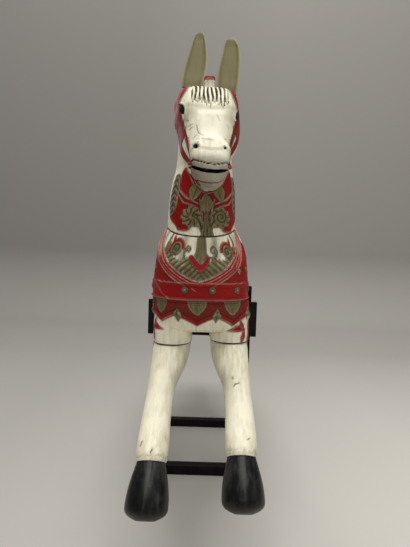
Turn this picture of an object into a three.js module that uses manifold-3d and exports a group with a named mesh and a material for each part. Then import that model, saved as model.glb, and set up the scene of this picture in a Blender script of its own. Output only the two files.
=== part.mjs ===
// Carved and painted wooden carousel horse, a jumper with stretched legs, held up by the
// cradle boards of a plain black wooden stand.
//
// Millimetres, +Z up. The horse faces -Y and its own left side is +X. While the pieces are
// worked out, y = 0 is the foremost point of the chest and z = 0 is the floor; the finished
// group is then shifted so that its origin is the bottom centre of its bounding box.

import * as THREE from 'three';
import { mergeVertices } from 'three/addons/utils/BufferGeometryUtils.js';
import Module from 'manifold-3d';

const wasm = await Module();
wasm.setup();

// ---------------------------------------------------------------- driving dimensions

const GAP = 0.3; // clearance between pieces that touch
const HUGE = 4000; // side of the blocks that cut a piece off at a plane

const TORSO = {
  length: 1120, // chest front to rump
  axisHeight: [[0, 815], [150, 812], [500, 850], [900, 880], [1120, 890]],
  halfWidth: [[0, 152], [170, 152], [300, 146], [520, 136], [720, 140], [940, 160], [1120, 146]],
  top: [
    [0, 1088], [150, 1092], [300, 1086], [352, 1066], [392, 1060], [462, 1016], [545, 1008],
    [612, 1050], [640, 1066], [668, 1026], [740, 1024], [880, 1044], [1000, 1030], [1120, 1000],
  ],
  bottom: [[0, 690], [120, 684], [330, 664], [470, 664], [700, 684], [860, 704], [1120, 712]],
  noseWidthReach: 150, // distance over which the chest rounds in to its full width
  noseTopReach: 100,
  noseBottomReach: 62,
  noseSquareness: 2.35,
  rumpWidthReach: 210,
  rumpTopReach: 230,
  rumpBottomReach: 190,
  rumpSquareness: 2.2,
  squareTop: 2.25,
  squareBottom: [[0, 4.6], [230, 4.2], [430, 2.9], [1120, 2.7]],
};

// The joint plane under the neck, rising backwards from the chest.
const SEAM = { y: 40, z: 983, slope: 0.27, back: 352 };

// Below the joint the shoulders spread from the neck's outline: [drop, spread] in turn, and
// the share of that spread at the middle of the front.
const SHOULDER = { spread: [[-6, -3], [0, 0.5], [40, 25], [75, 50], [112, 82]], front: 0.6, depth: 105 };

const NECK = {
  bottom: 930,
  height: 1466,
  front: [[930, 46], [990, 42], [1100, 44], [1180, 56], [1250, 78], [1330, 84], [1466, 66]],
  back: [[930, 372], [1060, 346], [1120, 310], [1200, 274], [1300, 238], [1400, 204], [1466, 178]],
  halfWidth: [[930, 113], [1000, 110], [1090, 106], [1158, 99], [1204, 92], [1300, 88], [1466, 82]],
  crownReach: 95,
  squareness: 2.3,
};

const HEAD = {
  forehead: { y: 58, z: 1452 }, // start of the face line
  lip: { y: -105, z: 1178 }, // end of the face line
  yaw: THREE.MathUtils.degToRad(4.6), // turned towards +X
  pivot: { x: 6, y: 60 },
  start: -20, // distances along the face line
  end: 361,
  crownReach: 60,
  muzzleReach: 66,
  faceBulge: [[-30, 2], [60, 6], [110, 7], [165, 1], [215, -3], [250, 3], [300, 3], [366, 0]],
  depth: [
    [-30, 150], [60, 182], [110, 196], [160, 188], [205, 158], [240, 124], [300, 104], [366, 98],
  ],
  faceHalfWidth: [
    [-30, 80], [30, 84], [98, 84], [125, 77], [160, 70], [205, 62], [236, 54], [264, 57], [300, 54],
    [366, 46],
  ],
  jawHalfWidth: [
    [-30, 86], [40, 94], [110, 94], [165, 89], [195, 79], [225, 62], [255, 54], [300, 50], [366, 44],
  ],
  squareFace: 4.2,
  squareJaw: 2.4,
  reach: 130, // half width of the prisms that cut or cross the head
};

const MOUTH = {
  t: 341, e: 6, ahead: 30, run: 62, opening: 14, corner: 8, rise: THREE.MathUtils.degToRad(14),
};

const EAR = {
  length: 170,
  thickness: 15,
  cup: 9, // how far the middle of the front face is hollowed back
  widest: 34,
  // Each ear has its own half width up its length, and its middle shifts across as it rises.
  right: {
    base: [-35, 96, 1452],
    tip: [-29, 112, 1617],
    halfWidth: [[0, 33], [14, 34], [50, 35], [86, 31], [121, 23.5], [140, 19], [157, 13.5], [170, 3]],
    shift: [[0, -9], [14, -8], [50, -2], [86, 2], [121, 3.4], [170, 4]],
  },
  left: {
    base: [65, 96, 1436],
    tip: [77, 112, 1600],
    halfWidth: [[0, 32], [31, 35], [67, 33.6], [102, 30], [138, 24], [156, 17], [164, 10], [170, 4]],
    shift: [[0, -2], [67, -1], [102, 0], [138, -1.5], [156, -5], [170, -4]],
  },
};

const FORELEG = {
  centreX: 6,
  slope: THREE.MathUtils.degToRad(52), // below the horizontal, stretched forwards
  seam: { y: 83, z: 611 }, // where the leg's own axis starts, s = 0
  stub: { outward: 91, halfWidth: 62, halfDepth: 75, height: 130, squareness: 2.3 },
  root: -75, // how far the form reaches up past the joint
  hoof: 318, // distance from the seam to the top of the hoof
  // The off leg is a little longer; level is the flat joint under the shoulder stub.
  right: { extra: 3, hoofLength: 134, level: 648 },
  left: { extra: -17, hoofLength: 141, level: 657 },
  outward: [[-75, 90], [0, 94], [45, 101], [110, 114], [200, 121], [318, 124], [444, 126]],
  halfWidth: [
    [-75, 61], [0, 58], [45, 52.5], [110, 41.5], [165, 40.5], [225, 43], [285, 45], [306, 43], [318, 38],
  ],
  halfDepth: [
    [-75, 58], [0, 57], [45, 54], [110, 47], [165, 43], [225, 43], [285, 46], [306, 44], [318, 39],
  ],
};

const HINDLEG = {
  centreX: 0,
  slope: THREE.MathUtils.degToRad(43), // below the horizontal, stretched backwards
  seam: { y: 1046, z: 716 },
  root: -150,
  hoof: 346,
  own: { extra: 0, hoofLength: 104 },
  outward: [[-150, 88], [0, 98], [90, 104], [180, 109], [346, 117], [450, 119]],
  halfWidth: [
    [-150, 62], [0, 62], [80, 52], [150, 42], [185, 41], [240, 35], [300, 39], [332, 41], [346, 36],
  ],
  halfDepth: [
    [-150, 88], [0, 80], [80, 64], [150, 50], [185, 48], [240, 37], [300, 41], [332, 44], [346, 38],
  ],
};

const HOOF = { flare: 1.44, widest: 0.76, sole: 0.42, toe: 1.2 }; // widths against its top
const LEG_SIDES = 16;

const STRAP = { bottom: 793, top: 847, height: 5, back: 392 }; // breast strap
const CURTAIN = { middle: 215, inner: 60, outer: 420 }; // y of its axis, and two radii
const SKIRT = { bottom: 741, drop: 26, height: 4, middle: -0.033, spacing: 0.6, back: 1.9 };

// The curved strap that hangs from the shoulders to the middle of the breast strap.
const BIB = {
  height: 5, low: 856, rise: 104, halfSpan: 128, band: 17, squareness: 1.9, inner: 0.93, back: 150,
};

const SADDLE_CLOTH = { front: 366, back: 706, bottom: 772, scallop: 24, scallops: 5, height: 3.5 };
const SADDLE = { front: 384, back: 652, bottom: 838, corner: 80, height: 8 };
const GIRTH = { front: 492, back: 560, top: 860, height: 4.5 };

const FORELOCK = {
  strands: 7, spread: 96, top: 8, bottom: 122, shorter: 16, uneven: 8, radius: 9, stand: 2, wrap: 9,
};
const TUFT = { x: 9, y: 82, z: 1448, across: 17, deep: 16, high: 26 }; // mane between the ears

const CHEEK_STRAP = {
  width: 34,
  height: 4,
  path: [[6, 34], [60, 56], [110, 66], [180, 58], [250, 40], [318, 32]], // [t, e] down the cheek
};
const BROW_BAND = { t: 4, width: 16, back: 90 };
// Rounded parts of the face: centre [x, t, e] on the head and three half sizes.
const EYE = { at: [74, 106, 36], across: 13, deep: 13, along: 22 };
const NOSTRIL = { at: [38, 272, -4], across: 7, deep: 9, along: 8 };
const BIT_KNOB = { at: [50, 318, 34], across: 9, deep: 9, along: 9 };

const MANE = { locks: 8, bottom: 1075, top: 1448, halfWidth: 20, stand: 30, notch: 12 };

const TAIL = {
  path: [[1080, 972], [1136, 990], [1178, 946], [1198, 862], [1194, 765], [1208, 670], [1236, 594]],
  halfWidth: [[0, 22], [0.25, 32], [0.5, 46], [0.75, 42], [0.92, 24], [1, 4]],
  halfDepth: [[0, 20], [0.25, 27], [0.5, 33], [0.75, 29], [0.92, 16], [1, 3]],
  flutes: 9,
  fluteDepth: 0.12,
};

const STAND = {
  centreX: 8,
  lumber: 38,
  halfWidth: 197, // to the outer faces of the rails and uprights
  frontFrame: 435, // y of the front faces of the two frames
  rearFrame: 881,
  railFront: 300,
  railBack: 962,
  uprightTop: 800,
};

const CRADLE = { halfWidth: 218, thickness: 19, bottom: 598, top: 738, fit: 0.5 };

// ---------------------------------------------------------------- curves and solids

const signedPower = (value, power) => Math.sign(value) * Math.abs(value) ** power;

// A smooth curve through a few stations [position, value], level beyond its two ends.
function curve(stations) {
  const last = stations.length - 1;
  const slope = (i) => {
    const before = stations[Math.max(i - 1, 0)];
    const after = stations[Math.min(i + 1, last)];
    return (after[1] - before[1]) / (after[0] - before[0]);
  };
  return (position) => {
    if (position <= stations[0][0]) return stations[0][1];
    if (position >= stations[last][0]) return stations[last][1];
    const i = stations.findIndex((station) => station[0] > position) - 1;
    const span = stations[i + 1][0] - stations[i][0];
    const u = (position - stations[i][0]) / span;
    const rise = stations[i + 1][1] - stations[i][1];
    const start = slope(i) * span;
    const finish = slope(i + 1) * span;
    return stations[i][1] + start * u + (3 * rise - 2 * start - finish) * u ** 2
      + (start + finish - 2 * rise) * u ** 3;
  };
}

// Rises from 0 at the end of a form to 1 at the given reach, as a superellipse does.
function endRound(distance, reach, squareness) {
  const u = Math.min(Math.max(distance / reach, 0), 1);
  return (1 - (1 - u) ** squareness) ** (1 / squareness);
}

// Positions from start to end, closer together near the two ends.
function endSpaced(start, end, count) {
  return Array.from({ length: count + 1 }, (_, i) => {
    const even = i / count;
    const eased = (1 - Math.cos(Math.PI * even)) / 2;
    return start + (end - start) * (0.45 * even + 0.55 * eased);
  });
}

// One closed body through rings of equal point counts, with a fan at each end.
function loft(rings) {
  const count = rings[0].length;
  const points = rings.flat();
  const centre = (ring) => ring.reduce((sum, p) => sum.add(p), new THREE.Vector3()).divideScalar(count);
  const first = points.push(centre(rings[0])) - 1;
  const last = points.push(centre(rings.at(-1))) - 1;
  const faces = [];
  for (let j = 0; j < count; j += 1) {
    const k = (j + 1) % count;
    faces.push(first, k, j);
    for (let i = 0; i < rings.length - 1; i += 1) {
      const a = i * count;
      const b = a + count;
      faces.push(a + j, a + k, b + k, a + j, b + k, b + j);
    }
    const a = (rings.length - 1) * count;
    faces.push(last, a + j, a + k);
  }
  const geometry = new THREE.BufferGeometry().setFromPoints(points);
  geometry.setIndex(faces);
  return solidFrom(geometry);
}

// A solid of a closed three.js geometry, turned right side out where it is inside out.
function solidFrom(geometry) {
  const bare = geometry.clone();
  bare.deleteAttribute('normal');
  bare.deleteAttribute('uv');
  const merged = mergeVertices(bare, 1e-3);
  const vertProperties = new Float32Array(merged.attributes.position.array);
  const triVerts = new Uint32Array(merged.index.array);
  const solid = new wasm.Manifold(new wasm.Mesh({ numProp: 3, vertProperties, triVerts }));
  if (solid.volume() > 0) return solid;
  triVerts.reverse();
  return new wasm.Manifold(new wasm.Mesh({ numProp: 3, vertProperties, triVerts }));
}

function geometryFrom(solid) {
  const mesh = solid.getMesh();
  const geometry = new THREE.BufferGeometry();
  geometry.setAttribute('position', new THREE.BufferAttribute(mesh.vertProperties, 3));
  geometry.setIndex(new THREE.BufferAttribute(mesh.triVerts, 1));
  geometry.computeVertexNormals();
  return geometry;
}

function box(x0, x1, y0, y1, z0, z1) {
  const geometry = new THREE.BoxGeometry(x1 - x0, y1 - y0, z1 - z0);
  geometry.translate((x0 + x1) / 2, (y0 + y1) / 2, (z0 + z1) / 2);
  return solidFrom(geometry);
}

// Everything on the side of a plane that its normal points to.
function halfSpace(point, normal) {
  const geometry = new THREE.BoxGeometry(HUGE, HUGE, HUGE);
  geometry.translate(0, 0, HUGE / 2);
  const turn = new THREE.Quaternion().setFromUnitVectors(new THREE.Vector3(0, 0, 1), normal);
  geometry.applyQuaternion(turn);
  geometry.translate(point.x, point.y, point.z);
  return solidFrom(geometry);
}

// A prism along Y from an outline of [x, z] points.
function frontPrism(outline, y0, y1) {
  const shape = new THREE.Shape(outline.map(([x, z]) => new THREE.Vector2(x, z)));
  const geometry = new THREE.ExtrudeGeometry(shape, { depth: y1 - y0, bevelEnabled: false });
  geometry.rotateX(Math.PI / 2);
  geometry.translate(0, y1, 0);
  return solidFrom(geometry);
}

// A prism across X from an outline of [y, z] points.
function sidePrism(outline, halfWidth) {
  const shape = new THREE.Shape(outline.map(([y, z]) => new THREE.Vector2(y, z)));
  const geometry = new THREE.ExtrudeGeometry(shape, { depth: 2 * halfWidth, bevelEnabled: false });
  geometry.rotateX(Math.PI / 2);
  geometry.rotateZ(Math.PI / 2);
  geometry.translate(-halfWidth, 0, 0);
  return solidFrom(geometry);
}

function ellipsoid(centre, rx, ry, rz, turn = new THREE.Euler()) {
  const geometry = new THREE.SphereGeometry(1, 10, 7);
  geometry.scale(rx, ry, rz);
  geometry.applyQuaternion(new THREE.Quaternion().setFromEuler(turn));
  geometry.translate(centre.x, centre.y, centre.z);
  return solidFrom(geometry);
}

const joined = (solids) => solids.reduce((sum, solid) => sum.add(solid));

// ---------------------------------------------------------------- torso

const torsoCurves = {
  axis: curve(TORSO.axisHeight),
  halfWidth: curve(TORSO.halfWidth),
  top: curve(TORSO.top),
  bottom: curve(TORSO.bottom),
  squareBottom: curve(TORSO.squareBottom),
};

// Cross-sections of the torso along Y: superellipses, rounder above than below, that draw in
// to a point at the chest and at the rump. All of it stands out by grow.
function torso(grow = 0) {
  const [rings, count] = [18, 26];
  const { length, noseSquareness: nose, rumpSquareness: rump } = TORSO;
  const inset = (y, front, back) => endRound(y, front, nose) * endRound(length - y, back, rump);
  const sections = endSpaced(0.4, length - 0.4, rings).map((y) => {
    const axis = torsoCurves.axis(y);
    const around = inset(y, TORSO.noseWidthReach, TORSO.rumpWidthReach);
    const above = inset(y, TORSO.noseTopReach, TORSO.rumpTopReach);
    const below = inset(y, TORSO.noseBottomReach, TORSO.rumpBottomReach);
    const half = torsoCurves.halfWidth(y) * around + grow;
    const rise = (torsoCurves.top(y) - axis) * above + grow;
    const fall = (axis - torsoCurves.bottom(y)) * below + grow;
    const place = y + grow * (2 * y / length - 1);
    return Array.from({ length: count }, (_, j) => {
      const angle = (2 * Math.PI * j) / count;
      const power = 2 / (Math.sin(angle) >= 0 ? TORSO.squareTop : torsoCurves.squareBottom(y));
      const up = signedPower(Math.sin(angle), power);
      const x = half * signedPower(Math.cos(angle), power);
      return new THREE.Vector3(x, place, axis + (up > 0 ? rise : fall) * up);
    });
  });
  return loft(sections);
}

// Room for a band round the front of the chest, from a level top down to a lower edge that
// is a function of the plan angle about an upright axis inside the chest.
function chestCurtain(top, bottomAt, reach) {
  const { middle, inner, outer } = CURTAIN;
  const steps = 28;
  const sections = Array.from({ length: steps + 1 }, (_, i) => {
    const angle = reach * (2 * (i / steps) - 1);
    const at = (radius, z) => new THREE.Vector3(
      radius * Math.sin(angle),
      middle - radius * Math.cos(angle),
      z,
    );
    const bottom = bottomAt(angle);
    return [at(inner, top), at(outer, top), at(outer, bottom), at(inner, bottom)];
  });
  return loft(sections);
}

// Lower edge of the skirt: an ogee-pointed scallop every spacing of plan angle.
function skirtEdge(angle) {
  const turns = (angle - SKIRT.middle) / SKIRT.spacing;
  const phase = Math.abs(turns - Math.round(turns)) * 2;
  return SKIRT.bottom - SKIRT.drop * (1 - phase);
}

function bibBand() {
  const line = (x, z) => z + BIB.rise * (Math.abs(x) / BIB.halfSpan) ** BIB.squareness;
  const steps = 16;
  const across = Array.from({ length: steps + 1 }, (_, i) => BIB.halfSpan * (2 * (i / steps) - 1));
  const lower = across.map((x) => [x, line(x, BIB.low - BIB.band)]);
  const upper = across.map((x) => [x * BIB.inner, line(x, BIB.low)]).reverse();
  return frontPrism([...lower, ...upper], -BIB.back, BIB.back);
}

function saddleClothOutline() {
  const { front, back, bottom, scallop, scallops } = SADDLE_CLOTH;
  const steps = scallops * 2;
  const edge = Array.from({ length: steps + 1 }, (_, i) => {
    const phase = Math.abs(((i / steps) * scallops) % 1 - 0.5) * 2;
    return [front + (back - front) * (i / steps), bottom - scallop * (1 - phase)];
  });
  return [...edge, [back, HUGE / 4], [front, HUGE / 4]];
}

function saddleOutline() {
  const { front, back, bottom, corner } = SADDLE;
  const steps = 3;
  const arc = (y, z, from) => Array.from({ length: steps + 1 }, (_, i) => {
    const angle = from + (i / steps) * (Math.PI / 2);
    return [y + corner * Math.cos(angle), z + corner * Math.sin(angle)];
  });
  const rearCorner = arc(back - corner, bottom + corner, -Math.PI / 2);
  const frontCorner = arc(front + corner, bottom + corner, Math.PI);
  return [...frontCorner, ...rearCorner, [back, HUGE / 4], [front, HUGE / 4]];
}

// ---------------------------------------------------------------- neck, head and ears

function neck() {
  const [front, back, half] = [NECK.front, NECK.back, NECK.halfWidth].map(curve);
  const levels = endSpaced(NECK.bottom, NECK.height - 0.4, 10);
  const count = 20;
  return loft(levels.map((z) => {
    const inset = endRound(NECK.height - z, NECK.crownReach, 2);
    const middle = (front(z) + back(z)) / 2;
    const depth = ((back(z) - front(z)) / 2) * inset;
    return Array.from({ length: count }, (_, j) => {
      const angle = (2 * Math.PI * j) / count;
      const power = 2 / NECK.squareness;
      return new THREE.Vector3(
        half(z) * inset * signedPower(Math.cos(angle), power),
        middle + depth * signedPower(Math.sin(angle), power),
        z,
      );
    });
  }));
}

const faceLine = (() => {
  const run = new THREE.Vector2(HEAD.lip.y - HEAD.forehead.y, HEAD.lip.z - HEAD.forehead.z);
  return run.normalize();
})();

// A point of the head: x across it, t down the face line from the forehead, and e inwards
// from the face, turned by the head's yaw.
function headPoint(x, t, e) {
  const y = HEAD.forehead.y + t * faceLine.x - e * faceLine.y;
  const z = HEAD.forehead.z + t * faceLine.y + e * faceLine.x;
  const turned = new THREE.Vector2(x, y - HEAD.pivot.y).rotateAround(new THREE.Vector2(), HEAD.yaw);
  return new THREE.Vector3(turned.x + HEAD.pivot.x, turned.y + HEAD.pivot.y, z);
}

const headCurves = {
  bulge: curve(HEAD.faceBulge),
  depth: curve(HEAD.depth),
  face: curve(HEAD.faceHalfWidth),
  jaw: curve(HEAD.jawHalfWidth),
};

// Cross-sections of the skull along the face line, square at the face and round at the jaw,
// wider across the jaw than across the face, and drawn in at the crown and at the muzzle.
function skull(grow = 0) {
  const count = 24;
  return loft(endSpaced(HEAD.start + 0.4, HEAD.end - 0.4, 17).map((t) => {
    const crown = endRound(t - HEAD.start, HEAD.crownReach, 2.2);
    const muzzle = endRound(HEAD.end - t, HEAD.muzzleReach, 2.4);
    const depth = (headCurves.depth(t) / 2) * crown * muzzle + grow;
    const middle = headCurves.depth(t) / 2 - headCurves.bulge(t) + (1 - muzzle) * 4;
    return Array.from({ length: count }, (_, j) => {
      const angle = (2 * Math.PI * j) / count;
      const power = 2 / (Math.sin(angle) < 0 ? HEAD.squareFace : HEAD.squareJaw);
      const inward = signedPower(Math.sin(angle), power);
      const toJaw = THREE.MathUtils.smoothstep(inward, -1, 0.2);
      const width = THREE.MathUtils.lerp(headCurves.face(t), headCurves.jaw(t), toJaw);
      const half = width * crown * muzzle + grow;
      return headPoint(half * signedPower(Math.cos(angle), power), t, middle + depth * inward);
    });
  }));
}

// The open mouth: a wedge that runs up and back from between the lips, open to both sides.
// It starts a little in front of the lips.
function mouthSlot() {
  const start = headPoint(0, MOUTH.t, MOUTH.e);
  const along = new THREE.Vector2(Math.cos(MOUTH.rise), Math.sin(MOUTH.rise));
  const corner = (run, lift) => [
    start.y + run * along.x - lift * along.y,
    start.z + run * along.y + lift * along.x,
  ];
  const outline = [
    corner(-MOUTH.ahead, -MOUTH.opening / 2),
    corner(MOUTH.run, -MOUTH.corner / 2),
    corner(MOUTH.run, MOUTH.corner / 2),
    corner(-MOUTH.ahead, MOUTH.opening / 2),
  ];
  return sidePrism(outline, HEAD.reach);
}

// Pointed strands of the forelock, lying side by side on the forehead.
function forelock() {
  const { strands, spread, top, bottom, shorter, uneven, radius, stand, wrap } = FORELOCK;
  return joined(Array.from({ length: strands }, (_, i) => {
    const side = (i / (strands - 1)) * 2 - 1;
    const end = bottom - shorter * Math.abs(side) + (i % 2) * uneven;
    const rings = [0, 0.15, 0.6, 1].map((u) => {
      const t = top + (end - top) * u;
      const swell = Math.sqrt(Math.max(1 - (2 * u - 1) ** 4, 0.02));
      const across = (side * spread) / 2;
      const e = -headCurves.bulge(t) - stand + wrap * side ** 2;
      return Array.from({ length: 4 }, (__, j) => {
        const angle = (Math.PI * j) / 2;
        return headPoint(
          across + radius * swell * Math.cos(angle),
          t,
          e + radius * swell * Math.sin(angle),
        );
      });
    });
    return loft(rings);
  }));
}

// A prism right across the head from an outline of [t, e] points.
function headPrism(outline) {
  const shape = new THREE.Shape(outline.map(([t, e]) => new THREE.Vector2(t, e)));
  const geometry = new THREE.ExtrudeGeometry(shape, { depth: 2 * HEAD.reach, bevelEnabled: false });
  const position = geometry.attributes.position;
  for (let i = 0; i < position.count; i += 1) {
    const point = headPoint(position.getZ(i) - HEAD.reach, position.getX(i), position.getY(i));
    position.setXYZ(i, point.x, point.y, point.z);
  }
  return solidFrom(geometry);
}

// The bridle's cheek piece: a flat strap down each side of the face, from the crown to the bit.
function cheekStraps() {
  const path = curve(CHEEK_STRAP.path);
  const [start, end] = [CHEEK_STRAP.path[0][0], CHEEK_STRAP.path.at(-1)[0]];
  const steps = 9;
  const edge = (offset) => Array.from({ length: steps + 1 }, (_, i) => {
    const t = start + ((end - start) * i) / steps;
    return [t, path(t) + offset];
  });
  return headPrism([...edge(-CHEEK_STRAP.width / 2), ...edge(CHEEK_STRAP.width / 2).reverse()]);
}

// The brow band: over the forehead below the ears, from one cheek strap to the other.
function browBand() {
  const { t, width, back } = BROW_BAND;
  const corners = [[t, -30], [t + width, -30], [t + width, back], [t, back]];
  return headPrism(corners);
}

// One of a pair of rounded parts of the face, long axis along the face line.
function facePart(side, { at: [x, t, e], across, deep, along }) {
  const lean = Math.atan2(faceLine.x, -faceLine.y);
  const turn = new THREE.Euler(-lean, 0, HEAD.yaw);
  return ellipsoid(headPoint(side * x, t, e), across, deep, along, turn);
}

// The mane: a standing crest along the back of the neck, notched between its locks.
function mane() {
  const back = curve(NECK.back);
  const { locks, bottom, top, halfWidth, stand, notch } = MANE;
  const inside = 40;
  const edge = Array.from({ length: 2 * locks + 1 }, (_, i) => {
    const z = bottom + ((top - bottom) * i) / (2 * locks);
    return [back(z) + (i % 2 ? stand : stand - notch), z];
  });
  return sidePrism([...edge, [back(top) - inside, top], [back(bottom) - inside, bottom]], halfWidth);
}

// A leaf-shaped ear, flat behind and hollowed in front, from its base to its tip.
function ear({ base, tip, halfWidth, shift }) {
  const [half, offset] = [halfWidth, shift].map(curve);
  const from = new THREE.Vector3(...base);
  const up = new THREE.Vector3(...tip).sub(from).normalize();
  const across = new THREE.Vector3(1, 0, 0).addScaledVector(up, -up.x).normalize();
  const back = new THREE.Vector3().crossVectors(up, across).normalize();
  const front = 6;
  return loft(endSpaced(-12, EAR.length - 0.4, 11).map((s) => {
    const width = half(s);
    const thick = Math.min(EAR.thickness, width * 0.7);
    const rim = Array.from({ length: front + 1 }, (_, j) => {
      const u = (2 * j) / front - 1;
      return [u, -thick / 2 + EAR.cup * (width / EAR.widest) * (1 - u * u)];
    });
    const rear = [0.6, 0, -0.6].map((u) => [u, (thick / 2) * (1.2 - u * u / 2)]);
    return [...rim, ...rear].map(([u, depth]) => from.clone()
      .addScaledVector(up, s)
      .addScaledVector(across, offset(s) + u * width)
      .addScaledVector(back, depth));
  }));
}

// ---------------------------------------------------------------- legs and tail

// The direction a leg runs in, and the direction square to it towards its underside.
// way is -1 where the leg stretches forwards and 1 where it stretches backwards.
function legDirections(leg, way) {
  const along = new THREE.Vector3(0, way * Math.cos(leg.slope), -Math.sin(leg.slope));
  const under = new THREE.Vector3(0, -way * Math.sin(leg.slope), -Math.cos(leg.slope));
  return { along, under };
}

// One leg as a single form, from above its joint down to the sole of the hoof.
function legForm(leg, side, way, { extra, hoofLength }) {
  const [outward, halfWidth, halfDepth] = [leg.outward, leg.halfWidth, leg.halfDepth].map(curve);
  const { along, under } = legDirections(leg, way);
  const stretch = (s) => (s > 0 ? s * (1 + extra / leg.hoof) : s);
  const ring = (s, half, depth, toe = 0) => {
    const centre = new THREE.Vector3(leg.centreX + side * outward(s), leg.seam.y, leg.seam.z)
      .addScaledVector(along, stretch(s));
    return Array.from({ length: LEG_SIDES }, (_, j) => {
      const angle = (2 * Math.PI * j) / LEG_SIDES;
      const down = -Math.sin(angle);
      return centre.clone()
        .add(new THREE.Vector3(half * Math.cos(angle), 0, 0))
        .addScaledVector(under, depth * down * (1 + toe * Math.max(-down, 0)));
    });
  };
  const shaft = endSpaced(leg.root, leg.hoof, 10).map((s) => ring(s, halfWidth(s), halfDepth(s)));
  const top = halfWidth(leg.hoof) + 1.5;
  const hoof = [0.02, 0.35, 0.7, 0.86, 0.95, 1].map((u) => {
    const spread = 1 + (HOOF.flare - 1) * Math.sin((Math.PI / 2) * Math.min(u / HOOF.widest, 1));
    const past = Math.max(u - HOOF.widest, 0) / (1 - HOOF.widest);
    const half = top * spread * (1 - (1 - HOOF.sole) * past ** 3);
    return ring(leg.hoof + hoofLength * u, half, half, (HOOF.toe - 1) * u);
  });
  return loft([...shaft, ...hoof]);
}

// The chest block comes down to a flat joint over each foreleg.
function forelegPieces(side, own) {
  const form = legForm(FORELEG, side, -1, own);
  const { stub, seam, slope, centreX } = FORELEG;
  const { level } = own;
  const y = seam.y + (level - seam.z) / Math.tan(slope);
  const sizes = [1, 0.99, 0.9]; // the stub draws in slightly towards its top
  const rings = sizes.map((size, i) => (
    Array.from({ length: LEG_SIDES }, (_, j) => {
      const angle = (2 * Math.PI * j) / LEG_SIDES;
      const power = 2 / stub.squareness;
      return new THREE.Vector3(
        centreX + side * stub.outward + stub.halfWidth * size * signedPower(Math.cos(angle), power),
        y + stub.halfDepth * size * signedPower(Math.sin(angle), power),
        level + (stub.height * i) / (sizes.length - 1),
      );
    })
  ));
  const below = halfSpace(new THREE.Vector3(0, 0, level - GAP), new THREE.Vector3(0, 0, -1));
  return { stub: loft(rings), leg: form.intersect(below) };
}

// The hind legs part from the haunches at a plane square to the leg.
function hindlegPieces(side) {
  const form = legForm(HINDLEG, side, 1, HINDLEG.own);
  const { along } = legDirections(HINDLEG, 1);
  const seam = new THREE.Vector3(0, HINDLEG.seam.y, HINDLEG.seam.z);
  const below = halfSpace(seam.clone().addScaledVector(along, GAP), along);
  const above = halfSpace(seam, along.clone().negate());
  return { stub: form.intersect(above), leg: form.intersect(below) };
}

function tail() {
  const path = new THREE.CatmullRomCurve3(TAIL.path.map(([y, z]) => new THREE.Vector3(0, y, z)));
  const [half, depth] = [TAIL.halfWidth, TAIL.halfDepth].map(curve);
  const steps = 12;
  const count = TAIL.flutes * 2;
  return loft(Array.from({ length: steps + 1 }, (_, i) => {
    const u = i / steps;
    const centre = path.getPointAt(u);
    const tangent = path.getTangentAt(u);
    const normal = new THREE.Vector3(0, -tangent.z, tangent.y);
    return Array.from({ length: count }, (__, j) => {
      const angle = (2 * Math.PI * j) / count;
      const flute = 1 - TAIL.fluteDepth * (j % 2);
      return centre.clone()
        .add(new THREE.Vector3(half(u) * flute * Math.cos(angle), 0, 0))
        .addScaledVector(normal, depth(u) * flute * Math.sin(angle));
    });
  }));
}

// ---------------------------------------------------------------- putting it together

const group = new THREE.Group();
const cream = { color: 0xd8d2bd, roughness: 0.55, metalness: 0 };
const khaki = { color: 0x87805f, roughness: 0.6, metalness: 0 };
const black = { color: 0x0b0b0a, roughness: 0.5, metalness: 0 };

function addPiece(name, solid, finish) {
  const mesh = new THREE.Mesh(geometryFrom(solid), new THREE.MeshStandardMaterial(finish));
  mesh.name = name;
  group.add(mesh);
}

const foreRight = forelegPieces(-1, FORELEG.right);
const foreLeft = forelegPieces(1, FORELEG.left);
const hindRight = hindlegPieces(-1);
const hindLeft = hindlegPieces(1);

const seamPoint = new THREE.Vector3(0, SEAM.y, SEAM.z);
const seamNormal = new THREE.Vector3(0, -SEAM.slope, 1).normalize();
const aboveSeam = halfSpace(seamPoint, seamNormal);
const neckRoom = aboveSeam.intersect(box(-HUGE, HUGE, -HUGE, SEAM.back, 0, HUGE));

function body() {
  const wide = HUGE / 8;
  const strapRoom = box(-wide, wide, -wide, STRAP.back, STRAP.bottom, STRAP.top);
  const girthRoom = box(-wide, wide, GIRTH.front, GIRTH.back, 0, GIRTH.top);
  const strap = torso(STRAP.height).intersect(strapRoom);
  const skirt = torso(SKIRT.height).intersect(chestCurtain(STRAP.bottom + 4, skirtEdge, SKIRT.back));
  const bib = torso(BIB.height).intersect(bibBand());
  const cloth = torso(SADDLE_CLOTH.height).intersect(sidePrism(saddleClothOutline(), wide));
  const saddle = torso(SADDLE.height).intersect(sidePrism(saddleOutline(), wide));
  const girth = torso(GIRTH.height).intersect(girthRoom);
  const stubs = [foreRight, foreLeft, hindRight, hindLeft].map((pair) => pair.stub);
  const block = joined([torso(), strap, skirt, bib, cloth, saddle, girth, ...stubs]);
  return block.subtract(neckRoom).subtract(shoulderWaste());
}

function headAndNeck() {
  const room = halfSpace(seamPoint.clone().addScaledVector(seamNormal, GAP), seamNormal);
  const block = joined([neck(), mane()]).intersect(room).add(skull());
  const straps = skull(CHEEK_STRAP.height).intersect(cheekStraps().add(browBand()));
  const tuft = ellipsoid(new THREE.Vector3(TUFT.x, TUFT.y, TUFT.z), TUFT.across, TUFT.deep, TUFT.high);
  const pairs = (part) => [-1, 1].map((side) => facePart(side, part));
  const carved = joined([block, straps, tuft, forelock(), ...pairs(EYE), ...pairs(BIT_KNOB)]);
  return carved.subtract(joined([mouthSlot(), ...pairs(NOSTRIL)]));
}

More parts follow.
